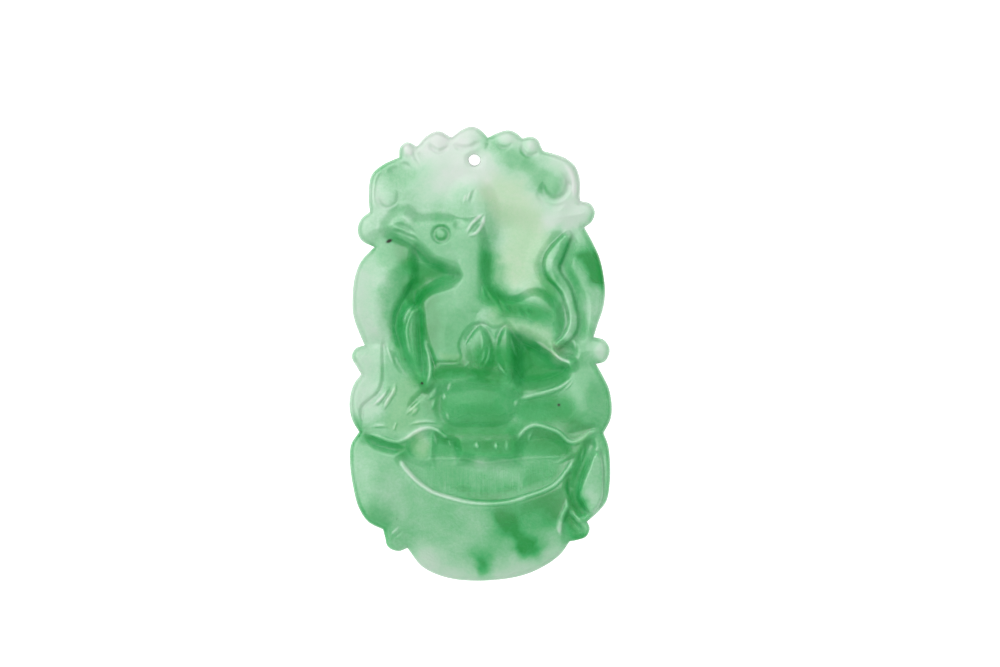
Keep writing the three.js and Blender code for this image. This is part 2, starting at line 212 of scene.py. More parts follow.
# Other raised areas, added one on another.
MOUNDS = {
    "left shoulder roll": pad([(-13.9, 18.6), (-13.9, 21.6), (-13.2, 23.3), (-11.4, 24.5), (-10.9, 24),
        (-12.5, 22.8), (-13.1, 21), (-13.1, 18.8)], 0.05, 1),
    "left scroll boss": pad([(-13, 20), (-12.1, 21.2), (-11, 20.6), (-11, 19.4), (-12.1, 18.9)],
        0.05, 1, 0.03, 1),
    "right scroll boss": pad([(8.3, 21.4), (8.9, 22.4), (10.2, 22.3), (10.7, 21.2), (10, 20.2), (8.9, 20.2)],
        0.08, 1, 0.05, 1),
    "left upper knob dome": pad([(-15.3, 15), (-15.3, 16.6), (-14.4, 17.4), (-13.2, 16.6), (-13.3, 14.9),
        (-14.4, 14.5)], 0.06, 1.2, 0.05, 1.2),
    "left lens": pad([(-13.6, 12.9), (-11.4, 13), (-9.9, 12.2), (-9.3, 10.8), (-9.9, 8.8), (-11, 6.8),
        (-11.6, 5), (-11.8, 3), (-12.6, 1.8), (-14.4, 2.2), (-15.6, 5), (-15.7, 9), (-14.8, 11.6)],
        0.2, 3, 0.2, 3),
    "left lower rim": pad([(-14.6, 0.4), (-12.5, 0.8), (-12.5, -3.6), (-13.6, -5.4), (-15.2, -6.8),
        (-15.3, -8.8), (-16.2, -7), (-16, -4.4), (-15, -2.8), (-15.6, -1)], 0.15, 0.8),
    "right long lobe dome": pad([(13.4, 14.6), (14.8, 11), (15.2, 7.6), (14.6, 4), (13.6, 2.4), (13.2, 6),
        (12.6, 9.4), (11.6, 12.4)], 0.12, 2.6),
    "right lower lobe dome": pad([(12, -3), (14.4, -3), (15.8, -5.6), (15.8, -8.4), (13.4, -9.6),
        (10.9, -8.8), (10.2, -6.6), (10.8, -4.6)], 0.25, 3, 0.15, 2.5),
    "foreleg": pad([(-8.2, 6.3), (-9.2, 5.5), (-9.8, 4), (-9.9, 2.2), (-9.5, 0.4), (-8.7, -1.4), (-7.8, -3),
        (-7, -4.6), (-6.2, -3.2), (-6.2, -1.4), (-6.8, 0.6), (-7.3, 2.6), (-7.5, 4.8)], 0.5, 1.3),
    "belly": pad([(-4.6, -6), (-3.8, -4.4), (-2, -3.7), (1, -3.5), (3.2, -4.2), (4.1, -6), (3.7, -7.8),
        (2.4, -8.8), (-0.4, -9), (-2.8, -8.6), (-4.2, -7.6)], 0.3, 2, 0.4, 2.8),
    "paws": pad([(-2.2, -9.7), (0.6, -9.4), (3.6, -9.6), (4.3, -10.8), (4.2, -12.9), (1, -13.4),
        (-2.2, -13.1), (-2.9, -11.4)], 0.2, 1.4),
    "right ear facet": pad([(14.8, -12.5), (15.3, -13.2), (15.55, -16), (15.4, -18.4), (14.1, -20.1),
        (13.1, -19.3), (12.5, -18.1), (13, -16.5), (13.8, -14.6), (14.3, -13.2)], 0.35, 0.5),
    "left petal": pad([(0, 3.3), (-1.1, 2.3), (-1.7, 0.9), (-1.5, -0.8), (-1, -2.3), (0.4, -2.6), (1.2, -1.2),
        (1.4, 0.4), (1, 2)], 0.3, 1.4, 0.1, 1.2),
    "right petal": pad([(3.3, 3.4), (2.5, 2.3), (2.2, 0.6), (2.5, -1), (3.4, -2.4), (4.4, -2.4), (4.7, -0.8),
        (4.4, 1), (4, 2.3)], 0.35, 1.2, 0.1, 1.2),
}

# Hollows have negative rises, and the lowest of these at each place counts.
HOLLOWS = {
    "scroll comma": pad([(-11.4, 23.7), (-9.8, 23.8), (-8.7, 22.9), (-8.8, 21.7), (-9.8, 21.2), (-10.7, 21.6),
        (-11.3, 22.5)], -0.12, 1.4),
    "upper field": pad([(1.4, 16), (3.4, 17.6), (7, 16.6), (8.4, 14.6), (7.4, 12.6), (7.2, 10.4), (7.4, 8.9),
        (6.2, 8.4), (5, 7.8), (3.6, 7.6), (2.3, 8.2), (1.7, 9.4), (1.4, 11)], -0.24, 3.6),
    "chin wedge": pad([(-2.8, 10), (-4.4, 10.9), (-6, 11.7), (-7.4, 12.8), (-8.3, 13.5), (-8.5, 12.4),
        (-8.4, 10.4), (-8.6, 8.6), (-9, 6.8), (-8.4, 6), (-7.4, 7.8), (-6.2, 8.7), (-4.8, 9.3)],
        -0.8, 1.5, -0.05, 2),
    "under the flank": pad([(4.9, 2.2), (6.4, 1.7), (8, 0.6), (9.6, -1), (11, -1.6), (10.4, -2.7),
        (8.6, -3.5), (6.4, -3.8), (4.8, -3.4), (4.5, -0.6)], -1.3, 2.6, -0.4, 3),
    "pocket by the tail": pad([(9.5, 0.7), (10.2, 1.2), (11.6, 1.2), (12.1, 0.5), (11.9, -0.4), (10.8, -0.6)],
        -0.6, 1.3, -0.2, 0.8),
    "beside the belly": pad([(4.6, -6.4), (8.6, -5.4), (10.2, -5.2), (9.9, -8.6), (7, -8.6), (4.4, -9)],
        -0.2, 3),
    "crescent": pad([(-10, -13.3), (-6.8, -13.5), (-2, -13.4), (1, -13.95), (6, -13.35), (11.6, -13.3),
        (10.6, -15.4), (8.6, -16.9), (5, -18.1), (1, -18.7), (-4, -17.9), (-7.4, -16.4), (-9.3, -14.6)],
        -0.5, 2.2),
    "left pocket": pad([(-9, -11.8), (-8.2, -10.7), (-6.5, -10.1), (-6.2, -11), (-6.2, -13.6), (-7.2, -14.4),
        (-8.6, -14)], -0.3, 1.3),
    "middle left pocket": pad([(-5.7, -10.4), (-4.8, -10.9), (-3.2, -11.2), (-2.8, -12.6), (-3, -15.4),
        (-5.9, -15.6)], -0.5, 1.4),
    "right pocket": pad([(5, -11.8), (5.8, -10.4), (7, -9.9), (9.6, -10.6), (11, -11.9), (11.2, -13.2),
        (9, -15.2), (4.8, -15.8)], -0.5, 1.8),
    "tassel pocket": pad([(11.3, -19.9), (12.3, -21.2), (13.3, -22.6), (13.6, -24.6), (12, -25.4),
        (10.7, -24.4), (10.6, -21.9)], -0.35, 0.9),
}

STROKES = {
    # Crown, curls and shoulders.
    "left curl eye": stroke([(-6.5, 27.3), (-6.3, 26.4), (-5.3, 25.75), (-4.3, 26.2), (-3.9, 26.9)],
        -0.1, 0.5),
    "left curl mound": stroke([(-5.6, 27.2), (-5, 27.2)], 0.025, 1.1),
    "right curl eye": stroke([(2, 27.1), (2.3, 26.5), (3, 26.15), (3.8, 26.5), (4.1, 27.1)], -0.1, 0.5),
    "right curl mound": stroke([(3, 27.3), (3.5, 27.3)], 0.03, 1),
    "crown groove": stroke([(-3.5, 27.2), (-2.8, 26.3), (-1.6, 26.15), (-0.6, 26.6), (0.4, 27)], -0.08, 0.6),
    "crown left bump": stroke([(-2.5, 26.9), (-1.9, 27)], 0.02, 0.8),
    "crown right groove": stroke([(0.9, 27.4), (1, 26.6), (0.6, 25.9)], -0.1, 0.5),
    "left bead": stroke([(-9.4, 26.3), (-9.2, 25.8)], 0.07, 0.8),
    "left bead petal": stroke([(-8.7, 26.4), (-8.3, 25.2), (-7.5, 23.8)], -0.06, 0.4),
    "left bead second petal": stroke([(-8.1, 26.3), (-7.6, 25.2), (-6.8, 24.2)], -0.05, 0.4),
    "right bead": stroke([(6.4, 26.5), (6.6, 26.3)], 0.035, 0.8),
    "right bead groove": stroke([(5.3, 27), (5.4, 25.8), (6.3, 25.2), (7.3, 25.6), (7.8, 26)], -0.12, 0.45),
    "left shoulder fold": stroke([(-11.4, 24.6), (-10.2, 24.3), (-9.2, 23.9), (-8.5, 23.2)], -0.1, 0.5),
    "left scroll": stroke([(-11.9, 23.9), (-12.8, 22.6), (-13.2, 21.2), (-13.2, 19.8), (-12.5, 18.7),
        (-11.6, 18.5), (-10.7, 19.1), (-10.4, 20.2), (-10.9, 21.1)], -0.08, 0.5),
    "right scroll": stroke([(8.1, 22.1), (7.95, 21), (8.5, 20.1), (9.4, 19.7), (10.3, 19.95), (10.9, 20.6),
        (11.15, 21.6), (10.9, 22.6)], -0.16, 0.6),
    "right scroll skirt": stroke([(7.3, 21.3), (7.7, 19.9), (8.6, 19.1), (9.7, 18.8), (10.9, 19.2)],
        -0.08, 0.7),
    "right shoulder line": stroke([(10.4, 24.2), (11.4, 23.3), (11.9, 22), (11.95, 20.6), (11.8, 19.6)],
        0.05, 0.5),
    "right shoulder groove": stroke([(10, 23.4), (10.9, 22.6), (11.4, 21.6), (11.5, 20.4)], -0.05, 0.5),
    "mouth of the hole": stroke([(-0.8, 24.75), (-0.7, 24.75)], -0.2, 1.5),
    # Head.
    "nostril ridge": stroke([(-10.3, 17.1), (-9.5, 17.3), (-8.8, 16.8), (-8.4, 16.1)], 0.07, 0.7),
    "behind the nostril": stroke([(-11.2, 16.5), (-10, 16.3), (-9, 15.8), (-8, 15.1)], -0.14, 0.5),
    "lip": stroke([(-11.5, 16.1), (-10.2, 15.95), (-9, 15.4), (-7.9, 14.8)], 0.04, 0.35),
    "mouth": stroke([(-11.6, 15.7), (-10.2, 15.5), (-8.9, 15), (-7.7, 14.3)], -0.14, 0.45),
    "lower lip": stroke([(-11.4, 15), (-10.2, 14.8), (-9, 14.2), (-8, 13.4), (-7, 12.5), (-6.1, 11.6)],
        0.05, 0.3),
    "before the ear": stroke([(-2.8, 16.45), (-2.6, 16.4)], -0.14, 0.8),
    "ear left rim": stroke([(-1.75, 14.9), (-1.45, 16), (-0.7, 17), (0.75, 18)], 0.12, 0.38),
    "ear right rim": stroke([(-1.75, 14.9), (-0.65, 15.3), (0.15, 16.3), (0.75, 18)], 0.12, 0.38),
    "ear hollow": stroke([(-1.4, 15.4), (-0.7, 16.1), (0.1, 17.1)], -0.2, 0.55),
    "tuft line left": stroke([(-1.7, 20.6), (-2, 19.7), (-2.2, 18.9)], 0.07, 0.25),
    "tuft line right": stroke([(-1.1, 20.9), (-1.5, 20), (-1.8, 19.1)], 0.07, 0.25),
    "tuft groove": stroke([(-0.6, 21.2), (-1, 20), (-1.3, 18.8)], -0.08, 0.4),
    # Under the chin and down the left side.
    "left valley": stroke([(-8.5, 9.6), (-8.9, 8.2), (-9.9, 6.4), (-10.6, 4.9), (-10.8, 3.2), (-10.2, 1.4),
        (-9.6, 0)], -0.6, 1.15, "sharp", (0.15, 0.25)),
    "foreleg edge": stroke([(-8.1, 6.4), (-9.1, 5.6), (-9.7, 4.4), (-9.8, 3.3)], 0.102, 0.3),
    "foreleg inner line": stroke([(-8.5, 5.4), (-9.1, 4.3), (-9.4, 2.8), (-9.2, 1.2), (-8.8, -0.4)],
        0.06, 0.3),
    "foreleg crease": stroke([(-8.3, 5.9), (-9.2, 4.7), (-9.6, 3.4)], -0.068, 0.2),
    "foreleg valley": stroke([(-7.9, 6), (-7.75, 4), (-7.7, 2), (-7.5, 0), (-7.4, -1.8), (-7.6, -3.2)],
        -0.5, 1, "sharp"),
    "foreleg right line": stroke([(-7.2, 2.3), (-6.95, 1), (-6.55, 0), (-6.4, -1.4), (-6.45, -2.7),
        (-6.9, -4.1)], 0.136, 0.4),
    "chest valley": stroke([(-7, 1.6), (-6.4, 0.2), (-6, -1), (-5.7, -2)], -0.3, 0.45, "sharp"),
    "chest foot": stroke([(-5.9, -1.2), (-4.2, -1.3), (-2.9, -1.2), (-2.1, -0.4)], 0.05, 0.35),
    # Lower left field.
    "left step": stroke([(-12.2, 2.4), (-12.35, 0.5), (-12.35, -1.8), (-12.45, -3.7), (-13, -5),
        (-14.1, -5.9), (-15, -6.8), (-15.1, -8), (-14.8, -9.1)], -0.12, 0.4),
    "triangle line": stroke([(-12, 1.3), (-11.6, 0), (-10.9, -1.8)], 0.102, 0.3),
    "triangle groove": stroke([(-11.2, 0.6), (-10.8, -0.6), (-10, -2), (-9, -3)], -0.12, 0.6),
    "drape first": stroke([(-10.8, -3.6), (-11, -4.6), (-11.8, -5.9), (-12.4, -7.3)], 0.153, 0.45),
    "drape second": stroke([(-11.8, -4.2), (-12.2, -5.1), (-13, -6), (-13.8, -6.7)], 0.119, 0.35),
    "drape groove": stroke([(-11.3, -4), (-11.6, -5), (-12.4, -6), (-13.2, -7)], -0.102, 0.3),
    "drape third": stroke([(-7.5, -5.8), (-8.6, -6.9), (-9.6, -7.9)], 0.12, 0.35),
    "drape fourth": stroke([(-7.7, -6.6), (-8.3, -7.2), (-8.9, -7.9)], 0.12, 0.4),
    "drape fifth": stroke([(-5.5, -4), (-6, -5), (-6.7, -6)], 0.153, 0.45),
    "drape sixth": stroke([(-3.7, -3.4), (-4, -4.2), (-4.25, -5)], 0.12, 0.32),
    "drape seventh": stroke([(-4.6, -4.9), (-4.65, -5.4), (-4.75, -6.1)], 0.12, 0.32),
    "drape eighth": stroke([(-4.35, -7.4), (-4.2, -8), (-3.95, -8.6)], 0.09, 0.28),
    "drape ninth": stroke([(-5.6, -5.7), (-6, -6.5), (-6.15, -7.3)], 0.09, 0.3),
    "drape valley": stroke([(-6.9, -3.9), (-7.4, -5), (-8.4, -6), (-9.4, -7)], -0.22, 0.7, "sharp"),
    "belly valley": stroke([(-3.2, -3.2), (-4.6, -4.6), (-5.2, -6.4), (-4.9, -8.2), (-3.4, -9.2),
        (-0.4, -9.35), (2.4, -9.2), (3.9, -8.4), (4.5, -7)], -0.12, 0.9, "sharp"),
    "hill line left": stroke([(-14.2, -9.35), (-12.6, -9.1), (-11.4, -9.4)], 0.08, 0.35),
    "hill line right": stroke([(-9.2, -9.1), (-8, -8.7), (-6.5, -8.6), (-5, -8.85)], 0.1, 0.3),
    "short tick": stroke([(-10.75, -8.9), (-11, -9.6)], 0.068, 0.2),
    # Petals, flank and tail.
    "left petal rim": stroke([(-2, 0.9), (-1.5, 2.1), (-0.8, 3.1), (0, 3.6), (0.7, 3.1), (1.3, 2.1),
        (1.6, 0.8)], -0.16, 0.6, "sharp"),
    "right petal rim": stroke([(2, 0.6), (2.3, 2.2), (2.8, 3.2), (3.3, 3.7), (3.9, 3), (4.5, 1.6)],
        -0.16, 0.6, "sharp"),
    "left petal crease": stroke([(0.1, 3.1), (0.3, 1.4), (0.2, 0.2)], 0.085, 0.25),
    "left petal notch": stroke([(-1.2, 2), (-1.65, 1.2)], 0.054, 0.16),
    "left petal curve": stroke([(1.1, 1.5), (1.15, 0.2), (0.85, -0.9), (0.2, -2)], 0.075, 0.22),
    "left petal inner curve": stroke([(0.5, 1), (0.45, -0.2), (0, -1.4)], 0.068, 0.2),
    "left petal foot": stroke([(-1.35, -0.8), (-1.8, -1.4), (-2.2, -2)], 0.054, 0.16),
    "right petal edge": stroke([(3.7, 2.7), (4.05, 1.4), (4.45, 0.2), (4.8, -0.8)], 0.085, 0.25),
    "right petal foot": stroke([(2.25, -0.7), (2.4, -1.6), (3, -2.4), (3.8, -2.95)], 0.085, 0.25),
    "flank edge": stroke([(6.6, 1.9), (8, 1), (9, 0.3), (10.1, -0.6), (11.2, -1.05), (11.6, -1.9)],
        0.119, 0.35),
    "speck ridge": stroke([(11.85, 2), (12.05, 1.1), (12.15, 0.3)], 0.075, 0.22),
    "field streak first": stroke([(0.2, 8.8), (0.8, 7.7), (1.7, 6.4)], -0.15, 0.34),
    "field streak second": stroke([(1.9, 7.7), (2.5, 6.4), (3.3, 5)], -0.15, 0.34),
    "field streak third": stroke([(3, 6.7), (3.6, 5.9), (4.3, 5)], -0.15, 0.34),
    "field streak fourth": stroke([(4.8, 6), (5.5, 5.2), (6.2, 4.4)], -0.15, 0.34),
    "field streak fifth": stroke([(5.9, 5.9), (6.4, 5.3), (6.9, 4.8)], -0.15, 0.34),
    "tail left groove": stroke([(10.9, 15.6), (9.9, 14.7), (9, 13.5), (8.3, 12.4), (7.9, 11.2), (7.9, 10.2),
        (8.6, 9.5), (9.4, 8.8)], -0.14, 1.2),
    "tail right groove": stroke([(12, 15.4), (11.3, 13.8), (10.8, 12.2), (10.4, 11), (10.8, 9.9), (11.6, 8.8),
        (12.3, 7.4), (12.7, 5.8), (12.7, 4.2), (12.5, 2.6), (12.6, 1)], -0.3, 1.4),
    "inside the tail": stroke([(10.2, 6.8), (10.5, 5.4), (10.3, 3.8), (9.9, 2.2)], -0.25, 1.1),
    # Hind leg.
    "hind leg line": stroke([(4.9, -5.8), (6.5, -5.35), (8.5, -4.85), (10, -4.3), (11, -3.6), (11.8, -2.8)],
        0.143, 0.42),
    "hind leg hook": stroke([(5, -5.8), (4.55, -6.2), (4.45, -6.9)], 0.102, 0.3),
    "hind leg twin": stroke([(10.4, -4.8), (11.2, -4.15), (11.9, -3.2)], 0.075, 0.22),
    # Waves, crescent, ears and tassels.
    "left wave": stroke([(-14.3, -10.1), (-12.9, -10.5), (-11.6, -11), (-10.5, -11.15), (-9.5, -10.8),
        (-8.5, -10.1), (-7.5, -9.6), (-6.5, -9.4), (-5.7, -9.6), (-4.9, -10.1), (-4.4, -10.6)], 0.143, 0.42),
    "left wave end": stroke([(-5.3, -9.9), (-4.5, -10.5)], 0.119, 0.35),
    "under the left wave": stroke([(-15.2, -10.2), (-14.2, -10.8), (-13.2, -11.5), (-11.8, -11.95),
        (-10.4, -12.15), (-9.3, -12)], -0.5, 1, "sharp", (0.5, 0.3)),
    "left pocket post": stroke([(-6, -9.9), (-5.75, -10.8), (-5.5, -11.8)], 0.085, 0.25),
    "paw one": stroke([(-0.4, -11.1), (-0.45, -11.6), (-0.35, -12.3)], 0.14, 0.45),
    "paw bar": stroke([(0.3, -10.8), (1, -10.95), (1.8, -10.85)], 0.05, 0.3),
    "paw two": stroke([(2.05, -11.1), (2, -11.7), (2.1, -12.4)], 0.13, 0.36),
    "paw three": stroke([(3.3, -10.8), (3.4, -11.6), (3.3, -12.5)], 0.07, 0.4),
    "paw bead": stroke([(-4, -11.2), (-3.85, -11.6)], 0.085, 0.25),
    "paw bead low": stroke([(-3, -12.05), (-2.95, -12.15)], 0.061, 0.18),
    "right wave": stroke([(4.7, -11.2), (5.2, -10.2), (5.9, -9.45), (6.8, -9.05), (7.8, -9.15), (8.8, -9.5),
        (9.8, -9.9), (10.5, -10.5), (11.1, -11.05), (11.9, -11.25), (12.8, -10.95), (13.6, -10.3),
        (14.4, -9.85), (15.3, -9.9)], 0.143, 0.42),
    "right wave drip": stroke([(6.65, -9.75), (6.25, -10.6), (6.1, -11.4)], 0.085, 0.25),
    "over the right lobe": stroke([(11, -10.2), (12.4, -9.8), (14, -9.3), (15.4, -9.4)], -0.1, 0.7),
    "crescent top edge": stroke([(-7, -13.3), (-4, -13.4), (-2, -13.3), (-0.5, -13.7), (1, -13.85),
        (3, -13.6), (6, -13.3), (11, -13.1)], 0.035, 0.22),
    "crescent lip": stroke([(-10.15, -13.1), (-9.9, -14), (-9, -15.2), (-8, -16.25), (-7, -17), (-6, -17.6),
        (-4, -18.25), (-2, -18.75), (0, -19), (2, -19), (4, -18.75), (6, -18.1), (8, -17.4), (9.2, -16.8),
        (10.1, -16), (10.9, -15), (11.4, -14.2), (11.8, -13.3)], 0.15, 0.44, "round", (0.04, 0.04)),
    "ear channel": stroke([(14.5, -10.5), (13.8, -12), (13, -13.8), (12.3, -15.6), (11.9, -17.2),
        (12.2, -18.8), (13, -20), (14.2, -20.4)], -0.5, 1.1),
    "ear inner channel": stroke([(11.8, -14.4), (11.2, -16.2), (11.3, -18.2)], -0.35, 0.8, "sharp"),
    "ear strip": stroke([(13.3, -11.6), (13, -12.8), (12.7, -14)], 0.085, 0.25),
    "ear rim groove": stroke([(15.4, -11.8), (15.75, -14), (15.75, -16.8), (15.5, -18.7), (14.9, -19.7)],
        -0.136, 0.4),
    "tassel left limb": stroke([(11, -18.3), (11, -19.4), (10.4, -20.8), (10.05, -22.2), (10.3, -23.4)],
        0.17, 0.5),
    "tassel right limb": stroke([(11, -19.5), (11.6, -20.3), (12.3, -21), (13.1, -21.9)], 0.136, 0.4),
    "left tassel line": stroke([(-11.6, -23.2), (-10.9, -22.6), (-10.2, -21.9)], 0.075, 0.22),
    "left tassel groove": stroke([(-11.2, -23.6), (-10.5, -23), (-9.8, -22.4)], -0.102, 0.3),
}

# The tail is a flat-topped ridge whose half width changes along it.
TAIL = {
    "path": [(11.5, 15.6), (10.6, 14.3), (9.65, 12.8), (9.05, 11.4), (9.3, 10.2), (10.1, 9.2), (10.9, 8),
        (11.35, 6.6), (11.7, 5.2), (11.8, 3.8), (11.4, 2.7), (10.7, 1.8), (9.9, 1.2)],
    "halves": [0.05, 0.3, 0.62, 0.78, 0.65, 0.5, 0.4, 0.32, 0.28, 0.3, 0.36, 0.22, 0.1],
    "rise": 0.75,
    "wall": 0.55,
    "reach": 1.6,
    "tip": 0.06,
}
EYE = {"x": -5.0, "y": 15.2, "ring": 0.9, "ring_reach": 0.5, "depth": 0.17}
BOWL = {"drop": 0.13, "lip_y": -19.2, "lip_bend": 0.045, "half_width": 11.5, "fade": 6.0}


def zone(path, reach, level):
    """A part of the stone near a path, and the level there of what its table sets."""
    return {"path": path, "reach": reach, "level": level}


# How green the stone is, from 0 for milky white to 1 for emerald. Zones that lie in hollows, valleys and on
# walls are partly the stone's emerald and partly painted shade, deeper green where shade falls. A level over
# 1 outweighs paler neighbours.
ZONES = {
    "crown": zone([(-11, 24), (-7, 26), (-3, 27), (0, 26)], 3, 0.02),
    "upper ground": zone([(-8, 21), (-4, 23), (0, 23.5)], 3, 0.03),
    "left shoulder": zone([(-13, 20), (-12, 17)], 2, 0.16),
    "left comma": zone([(-11.2, 23.6), (-9.4, 21.9)], 2.3, 1.05),
    "right top vein": zone([(0.8, 26.6), (3.8, 25.1), (6, 24.1), (7.4, 22.8), (9.4, 21.3)], 1.4, 0.85),
    "right wash": zone([(8.4, 24), (10.2, 22.8)], 1.3, 0.25),
    "right shoulder": zone([(10.5, 24), (11.5, 20), (10, 17.5)], 2.5, 0.05),
    "right curls": zone([(3.4, 27.8), (7, 26.8)], 1.4, 0.15),
    "upper right ground": zone([(3, 20), (5, 16), (4.5, 12), (6, 10)], 3, 0.2),
    "left upper knob": zone([(-14.5, 16), (-14, 13)], 2, 0.26),
    "head": zone([(-10, 17), (-5, 16), (-2, 14)], 2.5, 0.6),
    "neck": zone([(-2, 13), (-1.5, 11), (-2, 8)], 2.5, 0.5),
    "tuft": zone([(-1.5, 20), (0.3, 17)], 1.8, 0.42),
    "left lens, green side": zone([(-12, 13.6), (-10.6, 11), (-10.6, 8.5)], 2.2, 0.75),
    "left lens, pale side": zone([(-14, 11), (-14.5, 7), (-13.5, 3)], 2.5, 0.15),
    # The chin wedge, left valley, neck edge, chest edge, under the mouth, foot of the chin wedge and under
    # the chest zones lie in hollows or on walls: their deep green is partly painted shade.
    "chin wedge": zone([(-10.8, 13.7), (-9, 12), (-6, 10)], 1.4, 1),
    "left valley": zone([(-9.5, 9), (-10.5, 4), (-9.5, 0)], 1.3, 0.95),
    "chest": zone([(-5, 7), (-3, 3), (-4, 0)], 2.5, 0.7),
    "neck edge": zone([(1, 12), (1.2, 8.5), (2.5, 6.5)], 1, 1),
    "lower field": zone([(1.4, 7), (5, 6), (8, 6), (9, 9)], 1.8, 1),
    "chest edge": zone([(-6.5, 7.6), (-6.5, 5), (-6.5, 1.5)], 1.7, 1.05),
    "under the mouth": zone([(-11.2, 14.5), (-9.4, 13.5)], 0.9, 1),
    "foot of the chin wedge": zone([(-7.6, 9.2), (-8.7, 7)], 1, 1),
    "under the chest": zone([(-5.4, -2.1), (-1.8, -2), (2, -2.6)], 1.1, 1.25),
    "chest, pale foot": zone([(-5, -0.5), (-3, -0.4)], 0.8, 0.3),
    "crescent foot": zone([(-1.6, -17.8), (2.6, -18), (7, -16.6)], 0.9, 0.95),
    "green drapes": zone([(-7, -3.4), (-6.2, -6.6)], 1.1, 0.9),
    "crescent, pale part": zone([(0.5, -14.6), (5, -16)], 1.4, 0.2),
    "left of the ear channel": zone([(7, -18.8), (10.2, -17.4), (10.4, -19.6)], 1.3, 0.95),
    "foot of the ear facet": zone([(13.8, -17.6), (13.9, -18.6)], 1, 0.1),
    "foot of the bowl": zone([(-7, -26.3), (-3, -27.6), (3, -27.8), (9, -25.4)], 1.6, 0.05),
    "over the paws": zone([(-3, -9.6), (4, -9.6)], 1.1, 0.85),
    "tail": zone([(9, 12), (11.2, 7), (11.4, 3)], 0.8, 0.3),
    "left of the tail": zone([(9.6, 14.6), (7.9, 11.6), (8.4, 9.4), (10.1, 6), (9.9, 2.6)], 0.8, 0.65),
    "right of the tail": zone([(11, 14), (10.5, 11.4), (12.4, 7.6), (12.7, 2.6)], 0.8, 0.8),
    "right lobe, emerald": zone([(14.4, 12.8), (15.2, 9.8)], 1.5, 1.1),
    "right lobe, grey": zone([(13, 13.4), (14, 7), (13.5, 2)], 1.8, 0.32),
    "flank": zone([(0.5, 4.5), (3, 3.9), (6, 2.8), (8.6, 1.2), (10.6, -0.4)], 1.2, 0.22),
    "right middle knob": zone([(15.5, 0.5), (15.7, 0.3)], 0.9, 0.1),
    "middle": zone([(-1, 0), (3, 1), (7, -1), (9, -1.5)], 3, 0.95),
    "belly": zone([(-3, -6), (2, -6), (6, -7)], 3, 0.72),
    "beside the belly": zone([(8, -6), (10, -8)], 2, 0.88),
    "right lower lobe": zone([(13.5, -6), (14, -7)], 2.5, 0.6),
    "left lower rim": zone([(-14.5, -1), (-15, -6)], 2, 0.18),
    "left drapes": zone([(-10, -2), (-10, -7)], 3, 0.6),
    "paws": zone([(-4, -11), (4, -11)], 2, 0.97),
    "left pocket": zone([(-8, -11.5), (-7.5, -11.5)], 1.5, 0.3),
    "right pocket": zone([(8, -10.8), (10, -11.5), (11.6, -13)], 2, 0.95),
    "crescent": zone([(-6, -15.5), (0, -16.5), (7, -15.5)], 2.5, 0.66),
    "bowl": zone([(-9, -20), (-4, -23), (0, -25)], 4, 0.4),
    "bowl right": zone([(5, -26), (9, -23)], 2.5, 0.18),
    "left ear": zone([(-14, -13), (-14, -18)], 2.5, 0.42),
    "left ear foot": zone([(-13.8, -20.5), (-12.2, -21.3)], 1.3, 0.95),
    "right ear facet": zone([(14.5, -14), (14.5, -18)], 1.2, 0.36),
    "right ear channel": zone([(12.8, -15), (12.2, -18.5)], 1.2, 0.92),
}

# Emerald clouds in the milk: each adds its level on top of the zones.
CLOUDS = {
    "bowl upper cloud": zone([(2.6, -20.4), (3.1, -21.4)], 0.8, 0.45),
    "bowl great cloud": zone([(4.2, -22.1), (5.2, -23.2)], 1.2, 0.5),
    "bowl great cloud, foot": zone([(6, -24.4), (6.8, -25)], 1.1, 0.65),
    "bowl haze": zone([(5, -21), (8.5, -22)], 2.6, 0.12),
    "bowl right cloud": zone([(8.9, -19.8), (8.9, -21.2)], 0.9, 0.4),
    "bowl low cloud": zone([(0.3, -26.2), (0.4, -26.9)], 0.8, 0.55),
    "eye ring": zone([(-4.1, 15.2), (-5, 16.1), (-5.9, 15.2), (-5, 14.3), (-4.1, 15.2)], 0.3, 0.3),
    "right lobe cloud": zone([(12.8, 12.6), (14.2, 11.4), (15.1, 10)], 0.8, 0.5),
    "tassel cloud": zone([(11.8, -21.2), (12.4, -23)], 1.3, 0.5),
    "wave cloud": zone([(-14.8, -10.2), (-9.6, -12)], 0.8, 0.4),
    "lobe foot cloud": zone([(11.8, -9.4), (14, -9.8)], 0.9, 0.35),
}

# Where the stone is a little yellow.
WARM = {
    "upper right ground": zone([(3, 20), (6, 15), (4.5, 11)], 3.2, 0.8),
    "neck edge": zone([(7.2, 9.2), (8, 8.6)], 1.5, 0.7),
    "foot of the chest": zone([(-4.6, -0.6), (-3, -0.8)], 0.9, 1),
    "left drapes": zone([(-9, -5), (-10, -8)], 2.6, 0.7),
    "left pocket": zone([(-8, -11.5), (-7.4, -12)], 1.4, 0.7),
    "flank": zone([(2, 4.8), (7, 2.6), (9.6, 0.6)], 1.2, 0.6),
    "right wave": zone([(12.8, -11.4), (13.6, -10.8)], 1.2, 0.6),
}

# Where the tool left fine lines that run up and down.
HAIR = zone([(-6.0, -15.6), (0.0, -16.6), (8.0, -15.6)], 2.0, 1)

